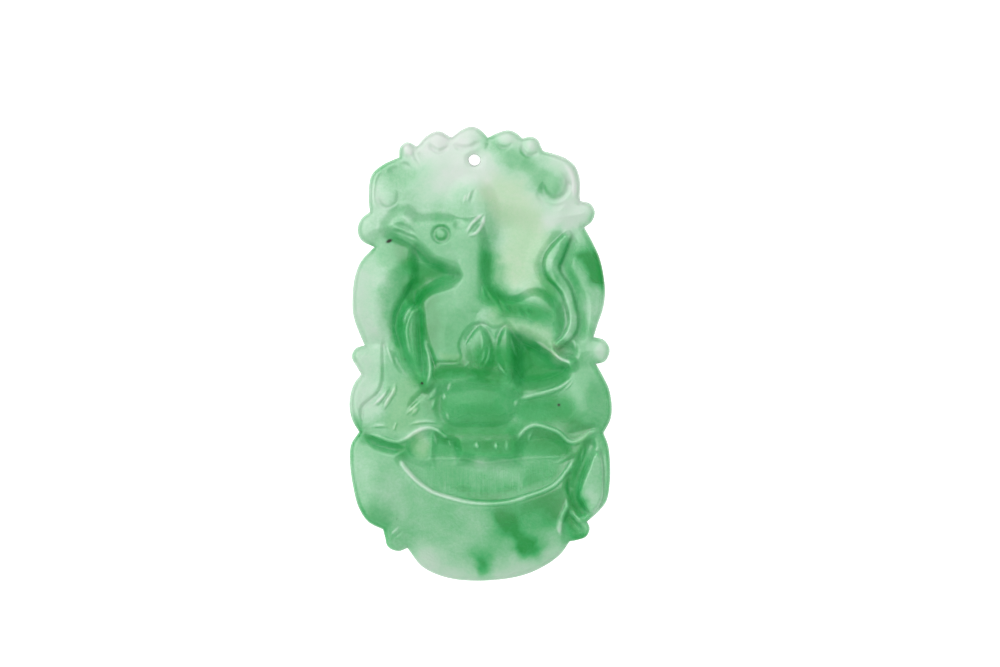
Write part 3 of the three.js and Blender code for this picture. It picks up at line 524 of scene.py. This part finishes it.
# Places that the polish hardly reached, from 0 for a full shine to 1 for none.
DULL = {
    "belly": zone([(-3, -6), (3, -6)], 3.2, 0.8),
    "beside the belly": zone([(6, -7.5), (10.5, -7)], 2.2, 0.9),
    "waves": zone([(-8, -12), (-3, -12), (3, -12), (10, -12)], 1.8, 0.8),
    "crescent": zone([(-7, -15), (0, -16.5), (8, -15)], 2.4, 0.6),
    "petals": zone([(0.4, -0.4), (4, -0.4)], 2, 1),
    "under the petals": zone([(-1, -2.8), (3, -3)], 1.5, 0.9),
    "haunch": zone([(0.8, 7.4), (3, 6), (5.5, 5.6), (8.5, 4.5)], 1.4, 0.95),
    "over the paws": zone([(-4, -9.5), (5, -9.5)], 1.3, 0.85),
    "left lens": zone([(-14.6, 11), (-14.6, 4)], 1.6, 0.45),
    "left lower rim": zone([(-14.8, 0), (-14.8, -6)], 1.6, 0.45),
    "pocket by the tail": zone([(10.5, 0.6), (11.1, 0.3)], 0.9, 1),
    "bowl": zone([(-6, -22.5), (0, -24.5), (7, -23)], 4, 0.85),
    "under the flank": zone([(6, -1.5), (9.5, -1)], 2.4, 1),
    "chin wedge": zone([(-9, 11), (-4, 10)], 1.4, 0.9),
    "foreleg valley": zone([(-7.7, 5.6), (-7.6, 0), (-7.6, -3)], 0.6, 1),
    "under the chest": zone([(-5.2, -2.5), (-2, -2.4)], 1.2, 1),
    "left valley": zone([(-7.8, 9.4), (-8.9, 7.2), (-10.2, 4), (-9.3, 0), (-8, -3)], 1.3, 0.95),
    "neck edge": zone([(1, 14), (1, 9), (3, 7.2)], 1.1, 0.8),
    "beside the tail": zone([(7.3, 11.2), (8.2, 9.2), (9.9, 6.2), (9.8, 3)], 0.8, 0.8),
    "right of the tail": zone([(11.7, 14), (11.1, 11.2), (12.7, 7.4), (13, 2.4)], 0.8, 0.8),
    "right lobe cloud": zone([(12.8, 12.6), (15.1, 10)], 1.6, 0.8),
    "wave valley": zone([(-14.8, -10.8), (-10, -12.2)], 0.9, 0.7),
    "ear channel": zone([(13.4, -13), (12, -17), (13.2, -20.3)], 1.1, 0.8),
}

# Specks of dirt in the stone: place, half length, half width, turn in degrees and strength.
SPECKS = [
    (-11.6, 14.35, 0.6, 0.3, 25.0, 1.8),
    (-7.4, -3.75, 0.26, 0.24, 0.0, 1.6),
    (10.0, -6.5, 0.3, 0.26, 0.0, 1.5),
    (-9.6, -0.7, 0.2, 0.18, 0.0, 0.5),
    (-10.6, -21.0, 0.16, 0.14, 0.0, 0.4),
]


def smooth_curve(points, step, closed=False):
    """A centripetal Catmull-Rom curve through the points, as evenly spaced places along it."""
    points = np.asarray(points, dtype=float)
    if closed:
        ring = np.vstack([points[-1], points, points[0], points[1]])
    else:
        ring = np.vstack([2 * points[0] - points[1], points, 2 * points[-1] - points[-2]])
    pieces = []
    share = np.linspace(0, 1, CURVE_SAMPLES, endpoint=False)[:, None]
    square, cube = share ** 2, share ** 3
    for first, second, third, fourth in zip(ring[:-3], ring[1:-2], ring[2:-1], ring[3:]):
        before, middle, after = [
            math.sqrt(np.hypot(*(b - a))) for a, b in ((first, second), (second, third), (third, fourth))
        ]
        start = (second - first) / before - (third - first) / (before + middle) + (third - second) / middle
        finish = (third - second) / middle - (fourth - second) / (middle + after) + (fourth - third) / after
        pieces.append(
            (2 * cube - 3 * square + 1) * second
            + (cube - 2 * square + share) * start * middle
            + (3 * square - 2 * cube) * third
            + (cube - square) * finish * middle
        )
    dense = np.vstack(pieces + [ring[-2:-1]])
    run = np.concatenate([[0], np.cumsum(np.hypot(*np.diff(dense, axis=0).T))])
    marks = np.linspace(0, run[-1], max(2, math.ceil(run[-1] / step)) + 1)
    return np.column_stack([np.interp(marks, run, dense[:, 0]), np.interp(marks, run, dense[:, 1])])


def rim_outline(step):
    """The closed outline, clockwise, with its last point joined to its first."""
    lobes = list(RIM_LOBES.values())
    following = lobes[1:] + lobes[:1]
    return np.vstack([smooth_curve(lobe + [after[0]], step)[:-1] for lobe, after in zip(lobes, following)])


def path_distance(path, points):
    """Distance of each point to a path, and how far along it the nearest place is, from 0 to 1."""
    start, along = path[:-1], np.diff(path, axis=0)
    lengths = np.hypot(*along.T)
    run = np.concatenate([[0], np.cumsum(lengths)])
    gaps, places = [], []
    for chunk in np.array_split(points, max(1, len(points) // CHUNK)):
        offset = chunk[:, None, :] - start[None, :, :]
        share = np.clip((offset * along).sum(-1) / lengths ** 2, 0, 1)
        gap = np.hypot(*(offset - share[..., None] * along).transpose(2, 0, 1))
        nearest = gap.argmin(1)
        rows = np.arange(len(chunk))
        gaps.append(gap[rows, nearest])
        places.append((run[nearest] + share[rows, nearest] * lengths[nearest]) / run[-1])
    return np.concatenate(gaps), np.concatenate(places)


def is_inside(outline, points):
    """Whether each point is inside a closed outline."""
    start, finish = outline, np.roll(outline, -1, axis=0)
    climb = np.where(finish[:, 1] == start[:, 1], TINY, finish[:, 1] - start[:, 1])
    answers = []
    for chunk in np.array_split(points, max(1, len(points) // CHUNK)):
        x, y = chunk[:, :1], chunk[:, 1:]
        crosses = (start[:, 1] > y) != (finish[:, 1] > y)
        crossing = start[:, 0] + (finish[:, 0] - start[:, 0]) * (y - start[:, 1]) / climb
        answers.append((crosses & (x < crossing)).sum(1) % 2 == 1)
    return np.concatenate(answers)


def near(path, margin, points):
    """Indices of the points inside a path's box, grown by a margin."""
    low, high = path.min(0) - margin, path.max(0) + margin
    return np.flatnonzero(((points > low) & (points < high)).all(1))


def soft_step(value):
    """From 0 to 1 with soft ends, as the value goes from 0 to 1."""
    value = np.clip(value, 0, 1)
    return value * value * (3 - 2 * value)


def bell(share):
    """1 in the middle, 0 from a share of 1 on."""
    return np.clip(1 - share ** 2, 0, 1) ** 2


def pad_height(detail, points):
    """Height that a raised or sunk area adds at each point."""
    outline = smooth_curve(detail["outline"], OUTLINE_STEP, closed=True)
    height = np.zeros(len(points))
    chosen = near(outline, detail["slope"], points)
    if len(chosen) == 0:
        return height
    distance, _ = path_distance(outline, points[chosen])
    depth = np.where(is_inside(outline[:-1], points[chosen]), distance, -distance)
    height[chosen] = detail["rise"] * soft_step(depth / detail["slope"] + WALL_MIDDLE)
    height[chosen] += detail["crown"] * soft_step(depth / detail["reach"])
    return height


def stroke_height(detail, points):
    """Height that a ridge or groove adds at each point."""
    path = smooth_curve(detail["path"], CURVE_STEP)
    height = np.zeros(len(points))
    chosen = near(path, detail["reach"], points)
    if len(chosen) == 0:
        return height
    distance, place = path_distance(path, points[chosen])
    fade = np.ones(len(chosen))
    if len(detail["path"]) > 2:
        length = np.hypot(*np.diff(path, axis=0).T).sum()
        usual = min(POINT_SHARE, POINT_LENGTH / length)
        first, last = detail["ends"] or (usual, usual)
        fade = soft_step(place / first) * soft_step((1 - place) / last)
    share = np.clip(distance / detail["reach"] / (BLUNT_SHARE + (1 - BLUNT_SHARE) * fade), 0, 1)
    if detail["shape"] == "sharp":
        profile = (1 - share) ** 2 * (1 + share)
    else:
        profile = bell(share)
    height[chosen] = detail["rise"] * profile * fade
    return height


def tail_height(points):
    """The tail's flat-topped ridge."""
    path = smooth_curve(TAIL["path"], CURVE_STEP)
    height = np.zeros(len(points))
    chosen = near(path, TAIL["reach"], points)
    distance, place = path_distance(path, points[chosen])
    half = np.interp(place, np.linspace(0, 1, len(TAIL["halves"])), TAIL["halves"])
    tip = soft_step(place / TAIL["tip"])
    height[chosen] = TAIL["rise"] * tip * soft_step((half + TAIL["wall"] - distance) / TAIL["wall"])
    return height


def eye_height(points):
    """The eye: a groove in a ring."""
    radius = np.hypot(points[:, 0] - EYE["x"], points[:, 1] - EYE["y"])
    return -EYE["depth"] * bell((radius - EYE["ring"]) / EYE["ring_reach"])


def bowl_height(points):
    """The bowl's outside falls away below the crescent's lip."""
    x, y = points[:, 0], points[:, 1]
    below = np.clip(BOWL["lip_y"] + BOWL["lip_bend"] * x ** 2 - y, 0, None)
    inner = soft_step((BOWL["half_width"] - np.abs(x)) / BOWL["fade"] + WALL_MIDDLE)
    return -BOWL["drop"] * below * inner


def relief_height(points, rim_distance):
    """Height of the carved front over the back, before its edge is rounded."""
    height = RIM_THICKNESS + DOME["rise"] * soft_step(rim_distance / DOME["reach"])
    height += np.max([pad_height(detail, points) for detail in BEAST.values()], axis=0)
    height += np.min([pad_height(detail, points) for detail in HOLLOWS.values()], axis=0)
    for detail in MOUNDS.values():
        height += pad_height(detail, points)
    for detail in STROKES.values():
        height += stroke_height(detail, points)
    height += tail_height(points) + eye_height(points) + bowl_height(points)
    return np.minimum(height, TALLEST)


def rolled_over(height, rim_distance):
    """The front's height once its edge rolls over to the wall."""
    share = np.clip(rim_distance / FRONT_ROUNDING, 0, 1)
    return height - FRONT_ROUNDING * (1 - np.sqrt(1 - (1 - share) ** 2))


def inward_normals(outline):
    """Unit vectors from each point of the clockwise outline to the inside."""
    along = np.roll(outline, -1, axis=0) - np.roll(outline, 1, axis=0)
    along /= np.hypot(*along.T)[:, None]
    return np.column_stack([along[:, 1], -along[:, 0]])


def rounding_insets(radius):
    """How far in from the edge each row of a rounding lies, without the edge itself."""
    turn = np.linspace(0, math.pi / 2, ROUNDING_STEPS + 1)[1:]
    return radius * (1 - np.cos(turn))


def lattice(pitch, low, high):
    """Places of a triangular lattice over a box."""
    row_gap = pitch * math.sqrt(3) / 2
    rows = []
    for index in range(int((high[1] - low[1]) / row_gap) + 1):
        x = np.arange(low[0] + (index % 2) * pitch / 2, high[0], pitch)
        rows.append(np.column_stack([x, np.full(len(x), low[1] + index * row_gap)]))
    return np.vstack(rows)


def hole_circle(height):
    """The drilled hole's circle where it meets a given height."""
    turn = np.linspace(0, 2 * math.pi, HOLE["sides"], endpoint=False)
    centre_y = HOLE["y"] - HOLE["lean"] * (height - RIM_THICKNESS / 2)
    return np.column_stack([
        HOLE["x"] + HOLE["radius"] * np.cos(turn),
        centre_y + HOLE["radius"] * np.sin(turn),
    ])


def face_points(outline, radius, pitch, circle):
    """Places over one face, inside the outline and outside the hole: rounding rows, then a lattice."""
    normals = inward_normals(outline)
    closed = np.vstack([outline, outline[:1]])
    kept = []
    for inset in rounding_insets(radius):
        row = outline + normals * inset
        kept.append(row[path_distance(closed, row)[0] > inset * ROW_CLEARANCE])
    inner = lattice(pitch, outline.min(0), outline.max(0))
    inner = inner[is_inside(outline, inner)]
    kept.append(inner[path_distance(closed, inner)[0] > radius + pitch * RIM_CLEARANCE])
    places = np.vstack(kept)
    from_hole = np.hypot(*(places - circle.mean(0)).T)
    return places[from_hole > HOLE["radius"] + pitch * HOLE_CLEARANCE]


def triangulate(outline, circle, inner):
    """Triangles over a face as index triples into outline, circle and inner, in that order."""
    places = np.vstack([outline, circle, inner])
    rim, sides = len(outline), len(circle)
    edges = [(i, (i + 1) % rim) for i in range(rim)]
    edges += [(rim + i, rim + (i + 1) % sides) for i in range(sides)]
    vectors = [Vector(place) for place in places]
    found = delaunay_2d_cdt(vectors, edges, [], KEEP_INSIDE, MERGE_DISTANCE, False)
    triangles = np.array([list(face) for face in found[2] if len(face) == 3])
    if len(found[0]) != len(places):
        raise ValueError("the face's points were merged or added to")
    middle = places[triangles].mean(1)
    return triangles[is_inside(outline, middle) & ~is_inside(circle, middle)]


def strip(first, second):
    """Triangles that join two rings of the same length."""
    triangles = []
    for index in range(len(first)):
        following = (index + 1) % len(first)
        triangles.append((first[index], first[following], second[following]))
        triangles.append((first[index], second[following], second[index]))
    return triangles


class Shell:
    """The pendant's points and triangles as they are gathered."""

    def __init__(self):
        self.points = []
        self.triangles = []
        self.count = 0

    def add(self, places, heights):
        """Adds points at these heights and gives their indices."""
        indices = np.arange(self.count, self.count + len(places))
        self.points.append(np.column_stack([places, np.broadcast_to(heights, len(places))]))
        self.count += len(places)
        return indices


def add_front(shell, outline, circle, pitch):
    """The carved front. Gives its indices and heights: the rim, the hole's mouth, then the rest."""
    inner = face_points(outline, FRONT_ROUNDING, pitch, circle)
    places = np.vstack([outline, circle, inner])
    rim_distance = path_distance(np.vstack([outline, outline[:1]]), places)[0]
    rim_distance[:len(outline)] = 0
    heights = rolled_over(relief_height(places, rim_distance), rim_distance)
    indices = shell.add(places, heights)
    shell.triangles += [tuple(face) for face in indices[triangulate(outline, circle, inner)]]
    return indices, heights


def add_wall(shell, outline, ring, tops):
    """The wall, from the front's rim down to where the back's rounding starts. Gives its lowest ring."""
    for step in range(1, WALL_STEPS + 1):
        share = step / WALL_STEPS
        lower = shell.add(outline, tops * (1 - share) + BACK_ROUNDING * share)
        shell.triangles += strip(ring, lower)
        ring = lower
    return ring


def add_back(shell, outline, circle, ring):
    """The flat back with its rounded edge. Gives its indices: the rim, the hole's mouth, then the rest."""
    inner = face_points(outline, BACK_ROUNDING, BACK_PITCH, circle)
    places = np.vstack([circle, inner])
    inset = path_distance(np.vstack([outline, outline[:1]]), places)[0] / BACK_ROUNDING
    inset = np.clip(inset, 0, 1)
    heights = BACK_ROUNDING * (1 - np.sqrt(1 - (1 - inset) ** 2))
    indices = np.concatenate([ring, shell.add(places, heights)])
    shell.triangles += [tuple(face[::-1]) for face in indices[triangulate(outline, circle, inner)]]
    return indices


def add_hole(shell, circles, ring, tops, last_ring):
    """The drilled hole's wall, from its mouth in the front to its mouth in the back."""
    for step in range(1, WALL_STEPS):
        share = step / WALL_STEPS
        lower = shell.add(circles[0] * (1 - share) + circles[1] * share, tops * (1 - share))
        shell.triangles += strip(ring, lower)
        ring = lower
    shell.triangles += strip(ring, last_ring)


def build_shell(front_pitch):
    """The whole pendant: the carved front, the wall, the flat back and the drilled hole."""
    shell = Shell()
    outline = rim_outline(RIM_STEP)
    circles = hole_circle(RIM_THICKNESS), hole_circle(0)
    rim = slice(0, len(outline))
    mouth = slice(len(outline), len(outline) + HOLE["sides"])
    front, heights = add_front(shell, outline, circles[0], front_pitch)
    wall_foot = add_wall(shell, outline, front[rim], heights[rim])
    back = add_back(shell, outline, circles[1], wall_foot)
    add_hole(shell, circles, front[mouth], heights[mouth], back[mouth])
    return np.vstack(shell.points), np.array(shell.triangles)


def warped(points):
    """The points moved about by soft noise, so that the zones of colour have cloudy edges."""
    noise.seed_set(CLOUD_SEED)
    scale, reach, octaves = ZONE_WARP["scale"], ZONE_WARP["reach"], ZONE_WARP["octaves"]
    moved = []
    for x, y in points:
        shift = noise.turbulence_vector((x * scale, y * scale, 0.0), octaves, False)
        moved.append((x + shift[0] * reach, y + shift[1] * reach))
    return np.array(moved)


def zone_distance(part, points):
    """Distance of each point to a zone's path, as a share of its reach."""
    return path_distance(smooth_curve(part["path"], ZONE_STEP), points)[0] / part["reach"]


def green_level(points):
    """How green the stone is at each point, from 0 for milky white to 1 for emerald; deeper green in hollows
    and on walls is partly painted shade.
    """
    places = warped(points)
    total = np.full(len(points), GROUND["weight"] * GROUND["level"])
    weights = np.full(len(points), GROUND["weight"])
    for part in ZONES.values():
        weight = (1 + zone_distance(part, places) ** 2) ** -ZONE_FALL
        total += weight * part["level"]
        weights += weight
    level = total / weights
    for part in CLOUDS.values():
        level += part["level"] * (1 + (zone_distance(part, places) / CLOUD_SPREAD) ** 2) ** -ZONE_FALL
    return np.clip(level, 0, 1)


def strongest(parts, points):
    """The level of the strongest of these zones at each point, fading past its reach."""
    level = np.zeros(len(points))
    for part in parts:
        level = np.maximum(level, part["level"] * soft_step(ZONE_EDGE - zone_distance(part, points)))
    return level


def crest_level(points):
    """How near each point is to the top of a ridge."""
    level = np.zeros(len(points))
    for detail in STROKES.values():
        if detail["rise"] > 0:
            level = np.maximum(level, stroke_height(detail, points) / CREST_HEIGHT)
    return np.minimum(level, 1)


def speck_level(points):
    """How much dirt there is at each point."""
    level = np.zeros(len(points))
    for x, y, half_length, half_width, turn, strength in SPECKS:
        angle = math.radians(turn)
        offset = points - (x, y)
        along = offset[:, 0] * math.cos(angle) + offset[:, 1] * math.sin(angle)
        across = offset[:, 1] * math.cos(angle) - offset[:, 0] * math.sin(angle)
        level = np.maximum(level, strength * bell(np.hypot(along / half_length, across / half_width)))
    return level


def write_attribute(mesh, name, values):
    """Stores one number for each point of the mesh, for the material to read."""
    attribute = mesh.attributes.new(name, "FLOAT", "POINT")
    attribute.data.foreach_set("value", np.asarray(values, dtype=np.float32))


def write_looks(mesh, points):
    """Stores where the stone is green, little polished, combed, yellowish or dirty; ridge crests are made
    paler there as a painted highlight.
    """
    flat = points[:, :2]
    on_front = (points[:, 2] > RIM_THICKNESS / 2).astype(float)
    crest = crest_level(flat) * on_front
    speck = speck_level(flat) * on_front
    recess = soft_step((RECESS["top"] - points[:, 2]) / RECESS["depth"])
    dull = np.maximum(recess, strongest(DULL.values(), flat)) * (1 - crest)
    # The ridge crests' paler green is a painted highlight.
    write_attribute(mesh, "green", green_level(flat) - CREST_PAINTED_HIGHLIGHT * crest)
    write_attribute(mesh, "recess", np.maximum(dull, np.minimum(speck, 1)) * on_front)
    write_attribute(mesh, "hair", strongest([HAIR], flat) * on_front)
    write_attribute(mesh, "warm", strongest(WARM.values(), warped(flat)))
    write_attribute(mesh, "speck", speck)


def make_pendant(material):
    """The carved pendant as one mesh."""
    points, triangles = build_shell(FRONT_PITCH)
    mesh = bpy.data.meshes.new("carved_pendant")
    mesh.from_pydata((points * MM).tolist(), [], triangles.tolist())
    mesh.validate()
    mesh.shade_smooth()
    write_looks(mesh, points)
    pendant = bpy.data.objects.new("carved_pendant", mesh)
    bpy.context.collection.objects.link(pendant)
    pendant.data.materials.append(material)
    return pendant


class Graph:
    """Short ways to add nodes to a material."""

    def __init__(self, material):
        self.nodes = material.node_tree.nodes
        self.links = material.node_tree.links

    def node(self, kind, **settings):
        """A new node with these settings."""
        made = self.nodes.new(kind)
        for name, value in settings.items():
            setattr(made, name, value)
        return made

    def feed(self, socket, value):
        """Links a socket's value, or sets a plain one."""
        if isinstance(value, bpy.types.NodeSocket):
            self.links.new(value, socket)
        else:
            socket.default_value = value

    def attribute(self, name):
        return self.node("ShaderNodeAttribute", attribute_name=name).outputs["Fac"]

    def math(self, operation, first, second=0.0):
        made = self.node("ShaderNodeMath", operation=operation)
        self.feed(made.inputs[0], first)
        self.feed(made.inputs[1], second)
        return made.outputs[0]

    def noise(self, vector, scale, detail, roughness=0.5, distortion=0.0):
        made = self.node("ShaderNodeTexNoise")
        self.feed(made.inputs["Vector"], vector)
        made.inputs["Scale"].default_value = scale
        made.inputs["Detail"].default_value = detail
        made.inputs["Roughness"].default_value = roughness
        made.inputs["Distortion"].default_value = distortion
        return made.outputs["Fac"]

    def spread(self, value, low, high, to_low=0.0, to_high=1.0, ease="LINEAR"):
        """The value moved from one range to another, and held at its ends."""
        made = self.node("ShaderNodeMapRange", interpolation_type=ease)
        self.feed(made.inputs["Value"], value)
        made.inputs["From Min"].default_value = low
        made.inputs["From Max"].default_value = high
        made.inputs["To Min"].default_value = to_low
        made.inputs["To Max"].default_value = to_high
        return made.outputs["Result"]

    def tint(self, share, first, second, blend="MIX"):
        made = self.node("ShaderNodeMix", data_type="RGBA", blend_type=blend)
        self.feed(made.inputs["Factor"], share)
        self.feed(made.inputs["A"], first)
        self.feed(made.inputs["B"], second)
        return made.outputs["Result"]


def hair_lines(graph, place):
    """Fine lines that run up and down, from -1 to 1, where the tool left them."""
    combed = graph.node("ShaderNodeMapping")
    graph.feed(combed.inputs["Vector"], place)
    combed.inputs["Scale"].default_value = HAIR_STRETCH
    lines = graph.spread(graph.noise(combed.outputs["Vector"], *HAIR_NOISE), *FINE_RANGE, -1.0, 1.0)
    return graph.math("MULTIPLY", graph.attribute("hair"), lines)


def jade_colour(graph, place, hair):
    """Milky white to emerald, mottled, yellowish in places, with the specks of dirt and a painted highlight
    that makes ridge crests paler.
    """
    clouds = graph.spread(graph.noise(place, *CLOUD_NOISE), *SOFT_RANGE, -CLOUD_SHIFT, CLOUD_SHIFT)
    grain = graph.spread(graph.noise(place, *GRAIN_NOISE), *SOFT_RANGE, -GRAIN_SHIFT, GRAIN_SHIFT)
    green = graph.attribute("green")
    strength = graph.spread(green, 0.0, FULL_MOTTLE_GREEN, MILK_MOTTLE, 1.0)
    mottle = graph.math("MULTIPLY", graph.math("ADD", clouds, grain), strength)
    level = graph.math("ADD", graph.math("ADD", green, mottle), graph.math("MULTIPLY", hair, HAIR_SHIFT))

    ramp = graph.node("ShaderNodeValToRGB")
    elements = ramp.color_ramp.elements
    for position, _ in JADE_TONES[1:-1]:
        elements.new(position)
    for element, (_, colour) in zip(elements, JADE_TONES):
        element.color = (*colour, 1.0)
    graph.feed(ramp.inputs["Fac"], level)
    colour = graph.tint(graph.attribute("warm"), ramp.outputs["Color"], (*WARM_TINT, 1.0), "MULTIPLY")
    return graph.tint(graph.attribute("speck"), colour, (*DIRT, 1.0))


def polish(graph, surface, place):
    """Shiny on the open surfaces and matt in the recesses, with faint smears. Gives how deep the pits are."""
    recess = graph.attribute("recess")
    finish = {name: graph.spread(recess, 0.0, 1.0, SHINY[name], MATT[name]) for name in SHINY}
    smears = graph.spread(graph.noise(place, *SMEAR_NOISE), *SOFT_RANGE, 0.0, SMEAR_ROUGHNESS)
    graph.feed(surface.inputs["Specular IOR Level"], finish["specular"])
    graph.feed(surface.inputs["Roughness"], graph.math("ADD", finish["roughness"], smears))
    return finish["pits"]


def fine_surface(graph, place, pit_depth, hair):
    """Ripples of the polish, small pits and the tool's fine lines."""
    ripples = graph.spread(graph.noise(place, *RIPPLE_NOISE), 0.0, 1.0, 0.0, RIPPLE_HEIGHT)
    pits = graph.spread(graph.noise(place, *PIT_NOISE), *FINE_RANGE)
    height = graph.math("ADD", ripples, graph.math("MULTIPLY", pits, pit_depth))
    height = graph.math("ADD", height, graph.math("MULTIPLY", hair, HAIR_HEIGHT))
    bump = graph.node("ShaderNodeBump")
    bump.inputs["Strength"].default_value = BUMP["strength"]
    bump.inputs["Distance"].default_value = BUMP["distance"]
    graph.feed(bump.inputs["Height"], height)
    return bump.outputs["Normal"]


def make_jade():
    """Mottled jade: milky white to emerald, cloudy, polished, duller in the recesses, with a painted
    highlight on ridge crests.
    """
    material = bpy.data.materials.new("mottled jade")
    material.use_nodes = True
    graph = Graph(material)
    surface = graph.nodes["Principled BSDF"]
    place = graph.node("ShaderNodeTexCoord").outputs["Object"]
    hair = hair_lines(graph, place)
    graph.feed(surface.inputs["Base Color"], jade_colour(graph, place, hair))
    surface.inputs["IOR"].default_value = JADE_IOR
    scattering = graph.spread(graph.attribute("speck"), 0.0, 1.0, SCATTER["weight"], 0.0)
    graph.feed(surface.inputs["Subsurface Weight"], scattering)
    surface.inputs["Subsurface Radius"].default_value = SCATTER["radius"]
    surface.inputs["Subsurface Scale"].default_value = SCATTER["scale"]
    pit_depth = polish(graph, surface, place)
    graph.feed(surface.inputs["Normal"], fine_surface(graph, place, pit_depth, hair))
    return material


def make_floor():
    """A wide pale floor that glows a little, as a light table does."""
    half = FLOOR_SIZE / 2
    corners = [(-half, -half, 0), (half, -half, 0), (half, half, 0), (-half, half, 0)]
    mesh = bpy.data.meshes.new("pale floor")
    mesh.from_pydata(corners, [], [(0, 1, 2, 3)])
    floor = bpy.data.objects.new("pale_floor", mesh)
    bpy.context.collection.objects.link(floor)
    material = bpy.data.materials.new("pale floor")
    material.use_nodes = True
    surface = material.node_tree.nodes["Principled BSDF"]
    surface.inputs["Base Color"].default_value = (FLOOR_ALBEDO, FLOOR_ALBEDO, FLOOR_ALBEDO, 1.0)
    surface.inputs["Roughness"].default_value = 1.0
    surface.inputs["Specular IOR Level"].default_value = 0.0
    surface.inputs["Emission Color"].default_value = WHITE
    surface.inputs["Emission Strength"].default_value = FLOOR_GLOW
    floor.data.materials.append(material)
    return floor


def make_light():
    """A soft lamp over the upper left of the pendant, in an even room that darkens towards its foot."""
    world = bpy.data.worlds.new("studio")
    world.use_nodes = True
    graph = Graph(world)
    direction = graph.node("ShaderNodeTexCoord").outputs["Generated"]
    height = graph.node("ShaderNodeSeparateXYZ")
    graph.feed(height.inputs[0], direction)
    room = graph.spread(height.outputs["Z"], SKY["edge"], SKY["full"], SKY["low"], SKY["high"])
    toward = graph.node("ShaderNodeVectorMath", operation="DOT_PRODUCT")
    graph.feed(toward.inputs[0], direction)
    toward.inputs[1].default_value = Vector(LAMP["toward"]).normalized()
    lamp = graph.spread(toward.outputs["Value"], LAMP["edge"], LAMP["full"], 0.0, LAMP["light"], "SMOOTHSTEP")
    background = world.node_tree.nodes["Background"]
    graph.feed(background.inputs["Strength"], graph.math("ADD", room, lamp))
    background.inputs["Color"].default_value = WHITE
    bpy.context.scene.world = world


def make_camera():
    """A camera straight above, aimed so that the pendant falls where it does in the photograph."""
    camera = bpy.data.cameras.new("camera")
    camera.sensor_width = SENSOR
    camera.lens = SENSOR * (CAMERA_HEIGHT - RIM_THICKNESS) / (PHOTO_WIDTH * MM_PER_PIXEL)
    camera.dof.use_dof = False
    view = bpy.data.objects.new("camera", camera)
    view.location = (
        (PHOTO_WIDTH / 2 - PENDANT_PIXEL[0]) * MM_PER_PIXEL * MM,
        (PENDANT_PIXEL[1] - PHOTO_HEIGHT / 2) * MM_PER_PIXEL * MM,
        CAMERA_HEIGHT * MM,
    )
    bpy.context.collection.objects.link(view)
    bpy.context.scene.camera = view


make_camera()
pendant = make_pendant(make_jade())
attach(pendant, "root")
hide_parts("pendant")
make_floor()
make_light()
bpy.context.scene.view_settings.view_transform = "Standard"
